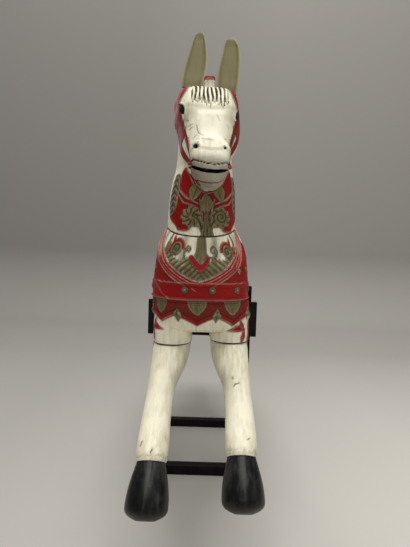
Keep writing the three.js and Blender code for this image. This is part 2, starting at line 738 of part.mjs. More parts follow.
// What the body gives up round the foot of the neck, outside the spreading shoulders.
function shoulderWaste() {
  const [front, back, half] = [NECK.front, NECK.back, NECK.halfWidth].map(curve);
  const count = 20;
  const foot = Array.from({ length: count }, (_, j) => {
    const angle = (2 * Math.PI * j) / count;
    const power = 2 / NECK.squareness;
    const [across, along] = [signedPower(Math.cos(angle), power), signedPower(Math.sin(angle), power)];
    const at = (z) => (front(z) + back(z)) / 2 + ((back(z) - front(z)) / 2) * along;
    const z = SEAM.z + SEAM.slope * (at(SEAM.z) - SEAM.y);
    const share = THREE.MathUtils.lerp(SHOULDER.front, 1, Math.abs(across));
    return { x: half(z) * across, y: at(z), middle: (front(z) + back(z)) / 2, share };
  });
  const rings = SHOULDER.spread.map(([drop, spread]) => foot.map(({ x, y, middle, share }) => {
    const out = new THREE.Vector2(x, y - middle).setLength(Math.abs(spread) * share);
    const to = new THREE.Vector2(x, y).addScaledVector(out, Math.sign(spread));
    return new THREE.Vector3(to.x, to.y, SEAM.z + SEAM.slope * (to.y - SEAM.y) - drop);
  }));
  const slab = neckRoom.add(neckRoom.translate([0, 0, -SHOULDER.depth]));
  return slab.subtract(loft(rings));
}

const bodySolid = body();
const headSolid = headAndNeck();
const headClearance = headSolid.translate([0, 0, GAP]);
const bodyClearance = joined([bodySolid, bodySolid.translate([0, GAP, 0])]);

addPiece('body', bodySolid, cream);
addPiece('head_and_neck', headSolid, cream);
addPiece('ear_right', ear(EAR.right).subtract(headClearance), khaki);
addPiece('ear_left', ear(EAR.left).subtract(headClearance), khaki);
addPiece('foreleg_right', foreRight.leg, cream);
addPiece('foreleg_left', foreLeft.leg, cream);
addPiece('hindleg_right', hindRight.leg, cream);
addPiece('hindleg_left', hindLeft.leg, cream);
addPiece('tail', tail().subtract(bodyClearance), cream);

function addStand() {
  const { centreX, lumber, halfWidth, frontFrame, rearFrame, railFront, railBack, uprightTop } = STAND;
  const seat = torso(CRADLE.fit);
  for (const [name, side] of [['right', -1], ['left', 1]]) {
    const faces = [centreX + side * halfWidth, centreX + side * (halfWidth - lumber)];
    const [x0, x1] = [Math.min(...faces), Math.max(...faces)];
    addPiece(`side_rail_${name}`, box(x0, x1, railFront, railBack, 0, lumber), black);
    for (const [place, y] of [['front', frontFrame], ['rear', rearFrame]]) {
      addPiece(`upright_${place}_${name}`, box(x0, x1, y, y + lumber, lumber + GAP, uprightTop), black);
    }
  }
  const inner = halfWidth - lumber - GAP;
  for (const [place, y, boardY] of [
    ['front', frontFrame, frontFrame - GAP - CRADLE.thickness],
    ['rear', rearFrame, rearFrame - GAP - CRADLE.thickness],
  ]) {
    addPiece(`cross_bar_${place}`, box(centreX - inner, centreX + inner, y, y + lumber, 0, lumber), black);
    const board = box(
      centreX - CRADLE.halfWidth,
      centreX + CRADLE.halfWidth,
      boardY,
      boardY + CRADLE.thickness,
      CRADLE.bottom,
      CRADLE.top,
    );
    addPiece(`cradle_board_${place}`, board.subtract(seat), black);
  }
}

addStand();

const bounds = new THREE.Box3().setFromObject(group);
group.position.set(-(bounds.min.x + bounds.max.x) / 2, -(bounds.min.y + bounds.max.y) / 2, -bounds.min.z);

export default group;
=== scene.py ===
# %% [markdown]
# # A carved and painted carousel horse on its stand
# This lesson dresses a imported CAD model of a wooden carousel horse. The model gives every size
# and place; here each block of the horse is worked out again as a fine surface, its carving is
# pushed in and out of that surface, and its paint is laid on by numbers stored at each point.

# %% Load the fixed frame
import math
import bpy
import numpy as np
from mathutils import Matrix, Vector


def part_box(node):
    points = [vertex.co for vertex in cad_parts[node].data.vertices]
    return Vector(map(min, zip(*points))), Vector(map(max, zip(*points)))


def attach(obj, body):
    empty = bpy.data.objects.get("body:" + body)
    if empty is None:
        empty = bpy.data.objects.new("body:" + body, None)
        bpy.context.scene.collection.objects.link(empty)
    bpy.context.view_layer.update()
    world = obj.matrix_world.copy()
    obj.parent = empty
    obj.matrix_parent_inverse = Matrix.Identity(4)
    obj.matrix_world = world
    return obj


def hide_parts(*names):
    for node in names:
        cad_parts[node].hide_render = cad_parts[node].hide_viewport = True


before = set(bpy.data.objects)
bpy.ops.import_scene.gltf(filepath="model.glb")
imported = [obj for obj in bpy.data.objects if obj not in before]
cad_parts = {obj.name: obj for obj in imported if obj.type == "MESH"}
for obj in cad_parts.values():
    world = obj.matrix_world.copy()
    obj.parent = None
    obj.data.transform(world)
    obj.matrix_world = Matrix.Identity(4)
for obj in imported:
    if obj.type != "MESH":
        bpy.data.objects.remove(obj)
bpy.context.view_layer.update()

# %% [markdown]
# A carver measures from the chest: here y = 0 is the foremost point of the chest, z = 0 is the
# floor and every length is in millimetres. The front floor bar is 435 mm behind the chest and
# the stand's middle lies 8 mm to the horse's left, and that ties these bench measures to the
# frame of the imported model.

# %% Bench measures
bar_low, bar_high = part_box("cross_bar_front")
ORIGIN = np.array([500 * (bar_low.x + bar_high.x) - 8.0, 1000 * bar_low.y - 435.0, 0.0])


def to_frame(points):
    """Bench millimetres to metres in the frame: shift by the origin, then divide by 1000."""
    return (np.asarray(points, float) + ORIGIN) / 1000


print("bench origin in the frame:", ORIGIN.round(1), "mm")

# %% [markdown]
# The camera stands about a metre in front of the chest and a little under a metre up, with a
# wide lens, so the hooves look large and the ears lean together. It comes first, because what
# it sees settles how fine each surface has to be.

# %% Camera
scene = bpy.context.scene
scene.view_settings.view_transform = "Standard"

camera_data = bpy.data.cameras.new("camera")
camera_data.lens, camera_data.sensor_width = 26.0, 36.0
camera_data.clip_start = 0.05
camera = bpy.data.objects.new("camera", camera_data)
camera.location = to_frame([13.0, -1160.0, 950.0])
CAMERA_DOWN, CAMERA_ROLL = math.radians(3.7), math.radians(1.8)
camera.rotation_mode = "QUATERNION"
camera.rotation_quaternion = (
    Matrix.Rotation(math.pi / 2 - CAMERA_DOWN, 3, "X")
    @ Matrix.Rotation(CAMERA_ROLL, 3, "Z")
).to_quaternion()
scene.collection.objects.link(camera)
scene.camera = camera
print("camera at", tuple(round(value, 3) for value in camera.location))

# %% [markdown]
# The lights are large squares, for soft edges. The one overhead does most of the work; weak
# ones in front, at the side and behind open up the shadows, as does a pale grey world.

# %% Lights
def soft_light(name, place, aim, size, power, tint=(1.0, 1.0, 1.0)):
    """A square area light at one bench point that faces another."""
    data = bpy.data.lights.new(name, "AREA")
    data.shape, data.size, data.energy, data.color = "SQUARE", size, power, tint
    light = bpy.data.objects.new(name, data)
    start, target = Vector(to_frame(place)), Vector(to_frame(aim))
    light.location = start
    light.rotation_mode = "QUATERNION"
    light.rotation_quaternion = (target - start).to_track_quat("-Z", "Y")
    scene.collection.objects.link(light)


soft_light("overhead", [100, -700, 11000], [0, 0, 600], 7.0, 1430, (1.0, 0.985, 0.95))
soft_light("front", [-500, -2600, 1900], [0, 100, 800], 1.8, 19, (1.0, 0.985, 0.95))
soft_light("side", [2400, -900, 1500], [0, 300, 700], 1.6, 7, (0.96, 0.98, 1.0))
soft_light("back", [-1500, 3000, 2600], [0, 600, 700], 2.0, 14)

world = bpy.data.worlds.new("studio")
world.use_nodes = True
world.node_tree.nodes["Background"].inputs["Color"].default_value = (0.62, 0.61, 0.58, 1)
world.node_tree.nodes["Background"].inputs["Strength"].default_value = 0.42
scene.world = world
print("lights:", [light.name for light in bpy.data.lights])

# %% [markdown]
# Nodes could be placed one by one in the editor. A helper that makes a node, sets its options
# and fills its inputs keeps a whole finish to a few lines that read like a sum.


# %% Helpers for nodes
def add_node(tree, kind, inputs=None, **options):
    """A new node of that kind. Inputs are {name or place: number, colour or output to link}."""
    made = tree.nodes.new(kind)
    for option, value in options.items():
        setattr(made, option, value)
    for key, value in (inputs or {}).items():
        if isinstance(value, bpy.types.NodeSocket):
            tree.links.new(value, made.inputs[key])
        else:
            made.inputs[key].default_value = value
    return made


def mixed(tree, share, first, second):
    """Output of a colour mix: share 0 gives the first colour and share 1 the second."""
    made = add_node(tree, "ShaderNodeMix", {0: share, 6: first, 7: second}, data_type="RGBA")
    return made.outputs[2]


def worked(tree, operation, *values, clamp=False):
    """Output of a Math node on one, two or three values."""
    inputs = dict(enumerate(values))
    made = add_node(tree, "ShaderNodeMath", inputs, operation=operation, use_clamp=clamp)
    return made.outputs[0]


# %% [markdown]
# Variation comes from noise in the wood and from numbers that the carving stores at the points
# of each mesh. An effect that several finishes share is a node group.


# %% Helpers for noise, stored numbers and groups
def speckle(tree, place, scale, detail=3.0, rough=0.55):
    """Output of a noise texture, 0 to 1 around one half."""
    inputs = {"Vector": place, "Scale": scale, "Detail": detail, "Roughness": rough}
    return add_node(tree, "ShaderNodeTexNoise", inputs).outputs[0]


def stored(tree, name):
    """Output of a number stored at each point of the mesh."""
    made = add_node(tree, "ShaderNodeAttribute", attribute_name=name)
    return made.outputs["Fac"]


def group_of(name, inputs, outputs):
    """A new shader node group with number inputs {name: default} and named number outputs."""
    group = bpy.data.node_groups.new(name, "ShaderNodeTree")
    for title, default in inputs.items():
        socket = group.interface.new_socket(title, in_out="INPUT", socket_type="NodeSocketFloat")
        socket.default_value = default
    for title in outputs:
        group.interface.new_socket(title, in_out="OUTPUT", socket_type="NodeSocketFloat")
    return group, group.nodes.new("NodeGroupInput"), group.nodes.new("NodeGroupOutput")


def placed_group(tree, group, inputs):
    """A shared effect put into a material, with its own values."""
    return add_node(tree, "ShaderNodeGroup", inputs, node_tree=group)


# %% [markdown]
# Two effects are shared by the finishes. The first is the edge of a painted area. The carving
# stores how many millimetres a point lies inside the paint's outline; adding noise to that
# before it is cut at nothing gives the uneven edge of a brush.

# %% Shared effect: painted edge
paint_edge, given, result = group_of(
    "paint_edge", {"Inside": 0.0, "Wobble": 1.0, "Softness": 0.8}, ["Mask"])
place = paint_edge.nodes.new("ShaderNodeTexCoord").outputs["Object"]
shake = worked(paint_edge, "SUBTRACT", speckle(paint_edge, place, 160.0, 2.0), 0.5)
reach = worked(paint_edge, "MULTIPLY_ADD", shake, given.outputs["Wobble"], given.outputs["Inside"])
cut = worked(paint_edge, "DIVIDE", reach, given.outputs["Softness"])
mask = worked(paint_edge, "ADD", cut, 0.5, clamp=True)
paint_edge.links.new(mask, result.inputs["Mask"])
print("shared effect:", paint_edge.name)

# %% [markdown]
# The second is age. Old paint is blotched at the size of a hand, streaked along the wood and
# dirty in its pores, and small flecks of it have chipped off. The streaks are noise that is
# stretched upwards, and the dirt is blotches times streaks, so that it gathers in patches.

# %% Shared effect: old paint
old_paint, given, result = group_of(
    "old_paint", {"Grain": 1.0}, ["Blotches", "Dirt", "Chips", "Relief"])
place = old_paint.nodes.new("ShaderNodeTexCoord").outputs["Object"]
blotches = speckle(old_paint, place, 9.0, 4.0, 0.6)
stretched = add_node(old_paint, "ShaderNodeMapping", {"Vector": place, "Scale": (1.0, 0.35, 0.12)})
streaks = speckle(old_paint, stretched.outputs[0], 110.0, 3.0, 0.6)
pores = speckle(old_paint, place, 420.0, 2.0, 0.7)
dirt = worked(old_paint, "MULTIPLY", blotches, streaks)
dirt = worked(old_paint, "MULTIPLY_ADD", dirt, 3.2, -0.62, clamp=True)
flecks = worked(old_paint, "MULTIPLY_ADD", speckle(old_paint, place, 95.0, 4.0, 0.7), 14.0, -9.6,
                clamp=True)
grain = worked(old_paint, "MULTIPLY", streaks, given.outputs["Grain"])
relief = worked(old_paint, "MULTIPLY_ADD", pores, 0.35, grain)
relief = worked(old_paint, "MULTIPLY_ADD", flecks, -0.5, relief)
for title, value in (("Blotches", blotches), ("Dirt", dirt), ("Chips", flecks),
                     ("Relief", relief)):
    old_paint.links.new(value, result.inputs[title])
print("shared effect:", old_paint.name, "gives", [socket.name for socket in result.inputs][:-1])

# %% [markdown]
# All painted blocks of the horse have one finish: a cream ground, red fields, dull old gold on
# the carved leaves, black hooves and eyes. Dirt has settled in the carved lines, and raised
# edges are rubbed pale. The same dark and pale coats also carry painted shade and painted
# highlights. Each paint has a fresher and an older colour, and age mixes them. A picture
# painted by hand would blur close by; masks read from the carving stay sharp.

# %% Colours of the horse
CREAM, AGED_CREAM = (0.80, 0.765, 0.61, 1), (0.50, 0.455, 0.31, 1)
RED, DEEP_RED = (0.335, 0.0045, 0.003, 1), (0.15, 0.002, 0.0015, 1)
GOLD, DULL_GOLD = (0.235, 0.20, 0.095, 1), (0.085, 0.073, 0.032, 1)
# The pale colour is rubbed paint and painted highlight; the dark one is dirt and painted shade.
RUBBED_AND_HIGHLIGHT, GRIME_AND_SHADE = (0.80, 0.62, 0.50, 1), (0.030, 0.024, 0.012, 1)
BLACK, DUSTY_BLACK = (0.0025, 0.003, 0.0032, 1), (0.021, 0.021, 0.021, 1)


def finish_named(name):
    """A material with its node tree, its Principled shader and a place in it."""
    material = bpy.data.materials.new(name)
    material.use_nodes = True
    tree = material.node_tree
    shader = tree.nodes["Principled BSDF"]
    shader.inputs["Specular IOR Level"].default_value = 0.16
    return material, tree, shader


def bumped(tree, shader, relief, depth):
    """Feeds the relief to the shader's normal, standing up by that many metres."""
    bump = add_node(tree, "ShaderNodeBump", {"Height": relief, "Distance": depth, "Strength": 1.0})
    tree.links.new(bump.outputs[0], shader.inputs["Normal"])


print("cream, red, gold:", CREAM[:3], RED[:3], GOLD[:3])

# %% [markdown]
# The coats go on in the painter's order: cream, then red, then gold, then what time did, which
# is rubbing, grime and chips, and black last. The rubbing coat also holds painted highlights and
# the grime coat painted shade. Each coat is a colour mix whose share is a mask.


# %% Finish of the horse
def coat_mask(tree, paint, wobble, softness):
    """Where a stored paint lies: 1 inside its uneven edge and 0 outside."""
    inputs = {"Inside": stored(tree, paint), "Wobble": wobble, "Softness": softness}
    return placed_group(tree, paint_edge, inputs).outputs[0]


horse_finish, tree, shader = finish_named("painted_horse")
age = placed_group(tree, old_paint, {"Grain": 0.8})
red = coat_mask(tree, "red", 3.0, 0.9)
gold = coat_mask(tree, "gold", 3.4, 1.0)
black = coat_mask(tree, "black", 2.0, 0.8)
# The dark layer is dirt and painted shade; the pale layer is rubbed paint and painted highlight.
dark = worked(tree, "MULTIPLY", stored(tree, "dark"),
              worked(tree, "MULTIPLY_ADD", age.outputs["Blotches"], 0.9, 0.45), clamp=True)
rubbed_and_highlit = worked(tree, "MULTIPLY", stored(tree, "rim"),
                worked(tree, "MULTIPLY_ADD", age.outputs["Relief"], 1.5, -0.3, clamp=True),
                clamp=True)
ground = mixed(tree, age.outputs["Dirt"], CREAM, AGED_CREAM)
red_coat = mixed(tree, age.outputs["Blotches"], RED, DEEP_RED)
gold_coat = mixed(tree, age.outputs["Relief"], GOLD, DULL_GOLD)
colour = mixed(tree, red, ground, red_coat)
colour = mixed(tree, gold, colour, gold_coat)
colour = mixed(tree, rubbed_and_highlit, colour, RUBBED_AND_HIGHLIGHT)
colour = mixed(tree, dark, colour, GRIME_AND_SHADE)
colour = mixed(tree, worked(tree, "MULTIPLY", age.outputs["Chips"], 0.35), colour, AGED_CREAM)
scuffed = worked(tree, "MULTIPLY_ADD", age.outputs["Dirt"], 1.6, -0.15, clamp=True)
black_coat = mixed(tree, scuffed, BLACK, DUSTY_BLACK)
colour = mixed(tree, black, colour, black_coat)
tree.links.new(colour, shader.inputs["Base Color"])
rough = worked(tree, "MULTIPLY_ADD", age.outputs["Dirt"], 0.2, 0.42)
rough = worked(tree, "MULTIPLY_ADD", black, -0.10, rough)
rough = worked(tree, "MULTIPLY_ADD", dark, 0.2, rough, clamp=True)
tree.links.new(rough, shader.inputs["Roughness"])
tree.links.new(worked(tree, "MULTIPLY", gold, 0.35), shader.inputs["Metallic"])
bumped(tree, shader, age.outputs["Relief"], 0.0007)
print(horse_finish.name, "has", len(tree.nodes), "nodes")

# %% [markdown]
# The ears were set in later and have another paint, a satin olive-khaki that is lighter along
# the rims and chipped at the tips.

# %% Finish of the ears
ear_finish, tree, shader = finish_named("ear_paint")
age = placed_group(tree, old_paint, {"Grain": 0.5})
KHAKI, OLD_KHAKI = (0.27, 0.245, 0.135, 1), (0.20, 0.18, 0.095, 1)
PALE_RIM, BROWN_DIRT = (0.46, 0.43, 0.29, 1), (0.10, 0.085, 0.045, 1)
coat = mixed(tree, age.outputs["Blotches"], KHAKI, OLD_KHAKI)
coat = mixed(tree, stored(tree, "rim"), coat, PALE_RIM)
coat = mixed(tree, worked(tree, "MULTIPLY", age.outputs["Dirt"], 0.35), coat, BROWN_DIRT)
chipped = worked(tree, "MULTIPLY", stored(tree, "dark"), age.outputs["Relief"], clamp=True)
coat = mixed(tree, chipped, coat, GRIME_AND_SHADE)
tree.links.new(coat, shader.inputs["Base Color"])
shader.inputs["Roughness"].default_value = 0.5
bumped(tree, shader, age.outputs["Relief"], 0.0005)
print(ear_finish.name, "has", len(tree.nodes), "nodes")

# %% [markdown]
# The stand is sawn lumber under one coat of black. The saw's grain shows through as relief, and
# the wood shows brown where a corner was knocked.

# %% Finish of the stand
stand_finish, tree, shader = finish_named("black_stand")
age = placed_group(tree, old_paint, {"Grain": 1.0})
FLAT_BLACK, DUSTY_LUMBER = (0.0035, 0.003, 0.0025, 1), (0.012, 0.010, 0.007, 1)
BARE_LUMBER = (0.06, 0.045, 0.03, 1)
coat = mixed(tree, age.outputs["Dirt"], FLAT_BLACK, DUSTY_LUMBER)
coat = mixed(tree, worked(tree, "MULTIPLY", age.outputs["Chips"], 0.3), coat, BARE_LUMBER)
tree.links.new(coat, shader.inputs["Base Color"])
shader.inputs["Specular IOR Level"].default_value = 0.12
tree.links.new(worked(tree, "MULTIPLY_ADD", age.outputs["Blotches"], 0.25, 0.45),
               shader.inputs["Roughness"])
bumped(tree, shader, age.outputs["Relief"], 0.0006)
print(stand_finish.name, "has", len(tree.nodes), "nodes")

# %% [markdown]
# Every surface here starts from a few stations, such as the half width of the chest at six
# places, and smooth curves through them. Sculpting could give these forms too, but stations
# can be measured and moved. The cross-sections are superellipses, rounder than a box and
# fuller than an ellipse. Every edge and groove of the carving is a step or a bell.


# %% Curves and sections
def curve(stations):
    """A smooth curve through (position, value) stations, level beyond the ends. Between two
    stations it is the cubic whose slope at each is the rise between its two neighbours."""
    where, value = np.array(stations, float).T
    order = np.arange(len(where))
    before, after = np.maximum(order - 1, 0), np.minimum(order + 1, len(where) - 1)
    slope = (value[after] - value[before]) / (where[after] - where[before])

    def read(position):
        """Value at each position: start + slope u + a u^2 + b u^3 between two stations."""
        position = np.clip(position, where[0], where[-1])
        i = np.clip(np.searchsorted(where, position, "right") - 1, 0, len(where) - 2)
        span, rise = where[i + 1] - where[i], value[i + 1] - value[i]
        u, start, end = (position - where[i]) / span, slope[i] * span, slope[i + 1] * span
        return (value[i] + start * u + (3 * rise - 2 * start - end) * u**2
                + (start + end - 2 * rise) * u**3)

    return read


def end_round(distance, reach, squareness):
    """Rises from 0 at the end of a form to 1 at the reach, as a quarter superellipse does."""
    u = np.clip(distance / reach, 0, 1)
    return (1 - (1 - u)**squareness)**(1 / squareness)


def superellipse(angle, squareness):
    """Point of the unit superellipse in the direction of the angle: the direction times the
    radius (|cos|^n + |sin|^n)^(-1/n), so that points stay evenly spread at any squareness."""
    across, up = np.cos(angle), np.sin(angle)
    radius = (np.abs(across)**squareness + np.abs(up)**squareness)**(-1 / squareness)
    return across * radius, up * radius


def step(value, low=-0.5, high=0.5):
    """Smooth step: 0 below low, 1 above high, and 3u^2 - 2u^3 between them."""
    u = np.clip((value - low) / (high - low), 0, 1)
    return u * u * (3 - 2 * u)


def bell(value, width):
    """Bell curve: e to the power -(value / width)^2, which is 1 where the value is nothing."""
    return np.exp(-(value / width)**2)


def turn_around(columns):
    """Angles of a full turn, evenly spaced, without the last one that would repeat the first."""
    return np.linspace(0, 2 * np.pi, columns, endpoint=False)


print("step and bell at 0.25:", round(float(step(0.25)), 3), round(float(bell(0.25, 1)), 3))

# %% [markdown]
# A grid of points becomes a closed mesh: neighbours are joined into quads, and each open end is
# closed with a fan of triangles to its middle. The faces are turned outwards by the sign of the
# volume that they enclose.


# %% From grid to mesh
def shown(name, mesh):
    """An object that holds the mesh, put into the scene at the origin."""
    made = bpy.data.objects.new(name, mesh)
    scene.collection.objects.link(made)
    return made


def closed_skin(name, rings):
    """Closed mesh object through rings, an array of rows x columns x 3 in bench millimetres.
    The columns run around and close on themselves."""
    rows, columns = rings.shape[:2]
    points = np.concatenate([rings.reshape(-1, 3), rings[[0, -1]].mean(axis=1)])
    here = np.arange(columns)
    beside = np.roll(here, -1)
    row = np.arange(rows - 1)[:, None] * columns
    quads = np.stack([row + here, row + beside, row + columns + beside, row + columns + here], -1)
    quads = quads.reshape(-1, 4)
    first, last, end = rows * columns, rows * columns + 1, (rows - 1) * columns
    fans = np.concatenate([
        np.stack([np.full(columns, first), beside, here], -1),
        np.stack([np.full(columns, last), here + end, beside + end], -1),
    ])
    triangles = np.concatenate([quads[:, [0, 1, 2]], quads[:, [0, 2, 3]], fans])
    corner = points[triangles] - points.mean(axis=0)
    volume = np.einsum("ij,ij->i", np.cross(corner[:, 0], corner[:, 1]), corner[:, 2]).sum()
    if volume < 0:
        quads, fans = quads[:, ::-1], fans[:, ::-1]
    mesh = bpy.data.meshes.new(name)
    mesh.vertices.add(len(points))
    mesh.vertices.foreach_set("co", to_frame(points).ravel())
    mesh.loops.add(quads.size + fans.size)
    mesh.loops.foreach_set("vertex_index", np.concatenate([quads.ravel(), fans.ravel()]))
    mesh.polygons.add(len(quads) + len(fans))
    sizes = np.concatenate([np.full(len(quads), 4), np.full(len(fans), 3)])
    mesh.polygons.foreach_set("loop_start", np.cumsum(sizes) - sizes)
    mesh.update(calc_edges=True)
    return shown(name, mesh)


# %% [markdown]
# The real joints are flat saw cuts, so pieces are cut at them by blocks, which are closed skins
# with four corners a ring.


# %% Blocks that cut
def block(name, low, high):
    """A box between two bench corners, used to cut a piece off at a plane."""
    x = np.array([low[0], high[0], high[0], low[0]], float)
    y = np.array([low[1], low[1], high[1], high[1]], float)
    rings = np.stack([np.stack([x, y, np.full(4, float(z))], -1) for z in (low[2], high[2])])
    return closed_skin(name, rings)


def sloped_block(name, x, y, bottoms, tops):
    """A block over the range y, with heights for its underside and its top at both ends."""
    rings = []
    for along, low, top in zip(y, bottoms, tops):
        rings.append([[-x, along, low], [x, along, low], [x, along, top], [-x, along, top]])
    return closed_skin(name, np.array(rings, float))


# %% [markdown]
# A block of the horse is several closed skins made one. Boolean modifiers join and cut them
# exactly; blending the shapes by hand would need the line where they meet, which is not known.


# %% Joining, and reading points back
def made_one(body, added=(), removed=()):
    """The body's mesh joined with the added objects and cut by the removed ones, as a new
    mesh. Boolean modifiers do the work, and the helper objects are then thrown away."""
    for operation, tools in (("UNION", added), ("DIFFERENCE", removed)):
        for tool in tools:
            modifier = body.modifiers.new(operation.lower(), "BOOLEAN")
            modifier.operation, modifier.solver, modifier.object = operation, "MANIFOLD", tool
    depsgraph = bpy.context.evaluated_depsgraph_get()
    mesh = bpy.data.meshes.new_from_object(body.evaluated_get(depsgraph))
    for used in [body, *added, *removed]:
        spare = used.data
        bpy.data.objects.remove(used)
        bpy.data.meshes.remove(spare)
    return mesh


def points_of(mesh):
    """Bench millimetres of every point, and the direction square to the surface there."""
    count = len(mesh.vertices)
    place, square = np.empty(3 * count, np.float32), np.empty(3 * count, np.float32)
    mesh.vertices.foreach_get("co", place)
    mesh.vertex_normals.foreach_get("vector", square)
    return place.reshape(-1, 3).astype(float) * 1000 - ORIGIN, square.reshape(-1, 3).astype(float)


# %% [markdown]
# The carving is drawn flat, like a paper pattern wrapped round the wood, with u around the
# piece and v up it. A shape is known by how many millimetres each point lies inside its
# outline. That one number gives its rounded edge, the dirt around it, its pale rim of rubbed
# paint and painted highlight, and the place of its paint. Brush strokes and closed outlines
# are enough for every leaf and scroll.

# %% Strokes and outlines
FAR = 30.0  # beyond this many millimetres from a shape nothing more is worked out


def near(u, v, shape, margin=FAR):
    """Which points lie within the margin of a shape's own box."""
    low, high = shape[:, :2].min(axis=0) - margin, shape[:, :2].max(axis=0) + margin
    return (u > low[0]) & (u < high[0]) & (v > low[1]) & (v < high[1])


def to_side(u, v, start, end):
    """Distance to a straight side, and how far along it, 0 to 1, its nearest point is."""
    du, dv = end[0] - start[0], end[1] - start[1]
    share = np.clip(((u - start[0]) * du + (v - start[1]) * dv) / (du * du + dv * dv), 0, 1)
    return np.hypot(u - start[0] - share * du, v - start[1] - share * dv), share


def stroke(u, v, path):
    """Millimetres inside a brush stroke through (u, v, radius) points: the radius minus the
    distance to the nearest stretch, the radius running evenly from point to point."""
    path = np.asarray(path, float)
    inside = np.full(u.shape, -FAR)
    close = near(u, v, path, FAR + path[:, 2].max())
    us, vs = u[close], v[close]
    best = np.full(us.shape, -FAR)
    for start, end in zip(path[:-1], path[1:]):
        gap, share = to_side(us, vs, start, end)
        best = np.maximum(best, start[2] + (end[2] - start[2]) * share - gap)
    inside[close] = best
    return inside


def patch(u, v, outline):
    """Millimetres inside a closed outline: the distance to its nearest side, with the sign
    of how many sides a level line from the point crosses, odd being inside."""
    outline = np.asarray(outline, float)
    inside = np.full(u.shape, -FAR)
    close = near(u, v, outline)
    us, vs = u[close], v[close]
    gap, within = np.full(us.shape, FAR), np.zeros(us.shape, bool)
    for start, end in zip(outline, np.roll(outline, -1, axis=0)):
        gap = np.minimum(gap, to_side(us, vs, start, end)[0])
        du, dv = end - start
        if dv:
            within ^= ((start[1] > vs) != (end[1] > vs)) & (
                us < du * (vs - start[1]) / dv + start[0])
    inside[close] = np.where(within, gap, -gap)
    return inside


square_test = patch(np.zeros(1), np.zeros(1), [(-5, -5), (5, -5), (5, 5), (-5, 5)])
print("middle of a 10 mm square lies", float(square_test[0]), "mm inside it")

# %% [markdown]
# Carved leaves have no corners, so a few points are joined by a curve that flows through them.
# A scroll is a stroke whose centre line winds in.


# %% Flowing outlines and scrolls
def flowing(points, count=8):
    """A closed outline rounded through its points, with count points on each stretch: each
    stretch is the cubic that leaves and meets its ends in line with their neighbours."""
    points = np.asarray(points, float)
    before, after, beyond = (np.roll(points, shift, axis=0) for shift in (1, -1, -2))
    s = np.linspace(0, 1, count, endpoint=False)[None, :, None]
    p0, p1, p2, p3 = (p[:, None, :] for p in (before, points, after, beyond))
    curved = (2 * p1 + (p2 - p0) * s + (2 * p0 - 5 * p1 + 4 * p2 - p3) * s**2
              + (3 * p1 - p0 - 3 * p2 + p3) * s**3) / 2
    return curved.reshape(-1, points.shape[1])


def scroll(centre, outer, turns, start, hand, thick):
    """Path of a scroll that winds in to its centre: the angle grows evenly, the radius falls
    with it, and the stroke gets thinner."""
    share = np.linspace(0, 1, 26)
    angle = start + hand * 2 * np.pi * turns * share
    radius = outer * (1 - share)**0.85
    return np.stack([centre[0] + radius * np.cos(angle), centre[1] + radius * np.sin(angle),
                     thick * (1 - 0.5 * share)], -1)


print("four corners flow into", len(flowing([(0, 0), (1, 0), (1, 1), (0, 1)])), "points")

# %% [markdown]
# The pattern of a block is six numbers at each point: how far it lies inside each of three
# paints, the height of the carving, the darkening, which is dirt and painted shade, and the
# paling, which is rubbed paint and painted highlight. A later shape covers an earlier one, as a
# leaf that is carved over a field does.

# %% Layers of the pattern
PAINTS = ("red", "gold", "black")


def bare_wood(count):
    """A pattern with nothing on it yet."""
    pattern = {paint: np.full(count, -FAR) for paint in PAINTS}
    pattern.update({part: np.zeros(count) for part in ("height", "dark", "rim")})
    return pattern


def add_dirt_and_shade(pattern, strength):
    """Dirt and painted shade: the larger of what is there and the new strength."""
    pattern["dark"] = np.maximum(pattern["dark"], strength)


def rub_and_highlight(pattern, strength):
    """Rubbed paint and painted highlight: the larger of what is there and the new strength."""
    pattern["rim"] = np.maximum(pattern["rim"], strength)


def motif(pattern, inside, paint, height=0.0, slope=3.0, wash=0.8, light=0.3):
    """Lays a shape over what is there: its paint, its raised height with a rounded edge, dirt
    just outside the edge and a pale rim just inside it, of rubbed paint and painted highlight."""
    over = step(inside, -0.6, 0.6)
    for other in PAINTS:
        pattern[other] = np.minimum(pattern[other], -inside)
    if paint:
        pattern[paint] = np.maximum(pattern[paint], inside)
    pattern["height"] += height * step(inside / slope)
    line = wash * bell(inside + 1.0, 1.5)
    rim = light * bell(inside - 2.2, 1.5)
    pattern["dark"] = np.maximum(pattern["dark"] * (1 - over), line)
    pattern["rim"] = np.maximum(pattern["rim"] * (1 - over), rim)


print("layers:", list(bare_wood(1)))

# %% [markdown]
# Lines are cut with the point of the gouge. A groove and a pale line of rubbed paint and painted
# highlight are both a bell over the distance from the line.


# %% Lines, repeats and chosen points
def carved_line(pattern, gap, depth=1.5, width=1.5, wash=0.8, within=None):
    """A line cut where the gap is nothing: a rounded groove with dirt in it."""
    groove = bell(gap, width)
    if within is not None:
        groove = groove * step(within, -0.5, 1.5)
    pattern["height"] -= depth * groove
    add_dirt_and_shade(pattern, wash * groove)


def lit_edge(pattern, gap, width=1.4, light=0.6, within=None):
    """A pale line where the gap is nothing: rubbed paint, and painted highlight along a ridge."""
    line = light * bell(gap, width)
    if within is not None:
        line = line * step(within, -0.5, 1.0)
    rub_and_highlight(pattern, line)


def scratched(pattern, inside, width, wash, depth):
    """A crack along a stroke: deepest and dirtiest inside it, less beside it as a bell."""
    mark = bell(np.minimum(inside, 0), width)
    add_dirt_and_shade(pattern, wash * mark)
    pattern["height"] -= depth * mark


def overlap(*shapes):
    """Millimetres inside all the shapes at once: the smallest of their numbers."""
    return np.minimum.reduce(np.broadcast_arrays(*shapes))


def repeated(value, spacing):
    """Distance to the nearest of lines set every spacing millimetres."""
    return np.abs((value + spacing / 2) % spacing - spacing / 2)


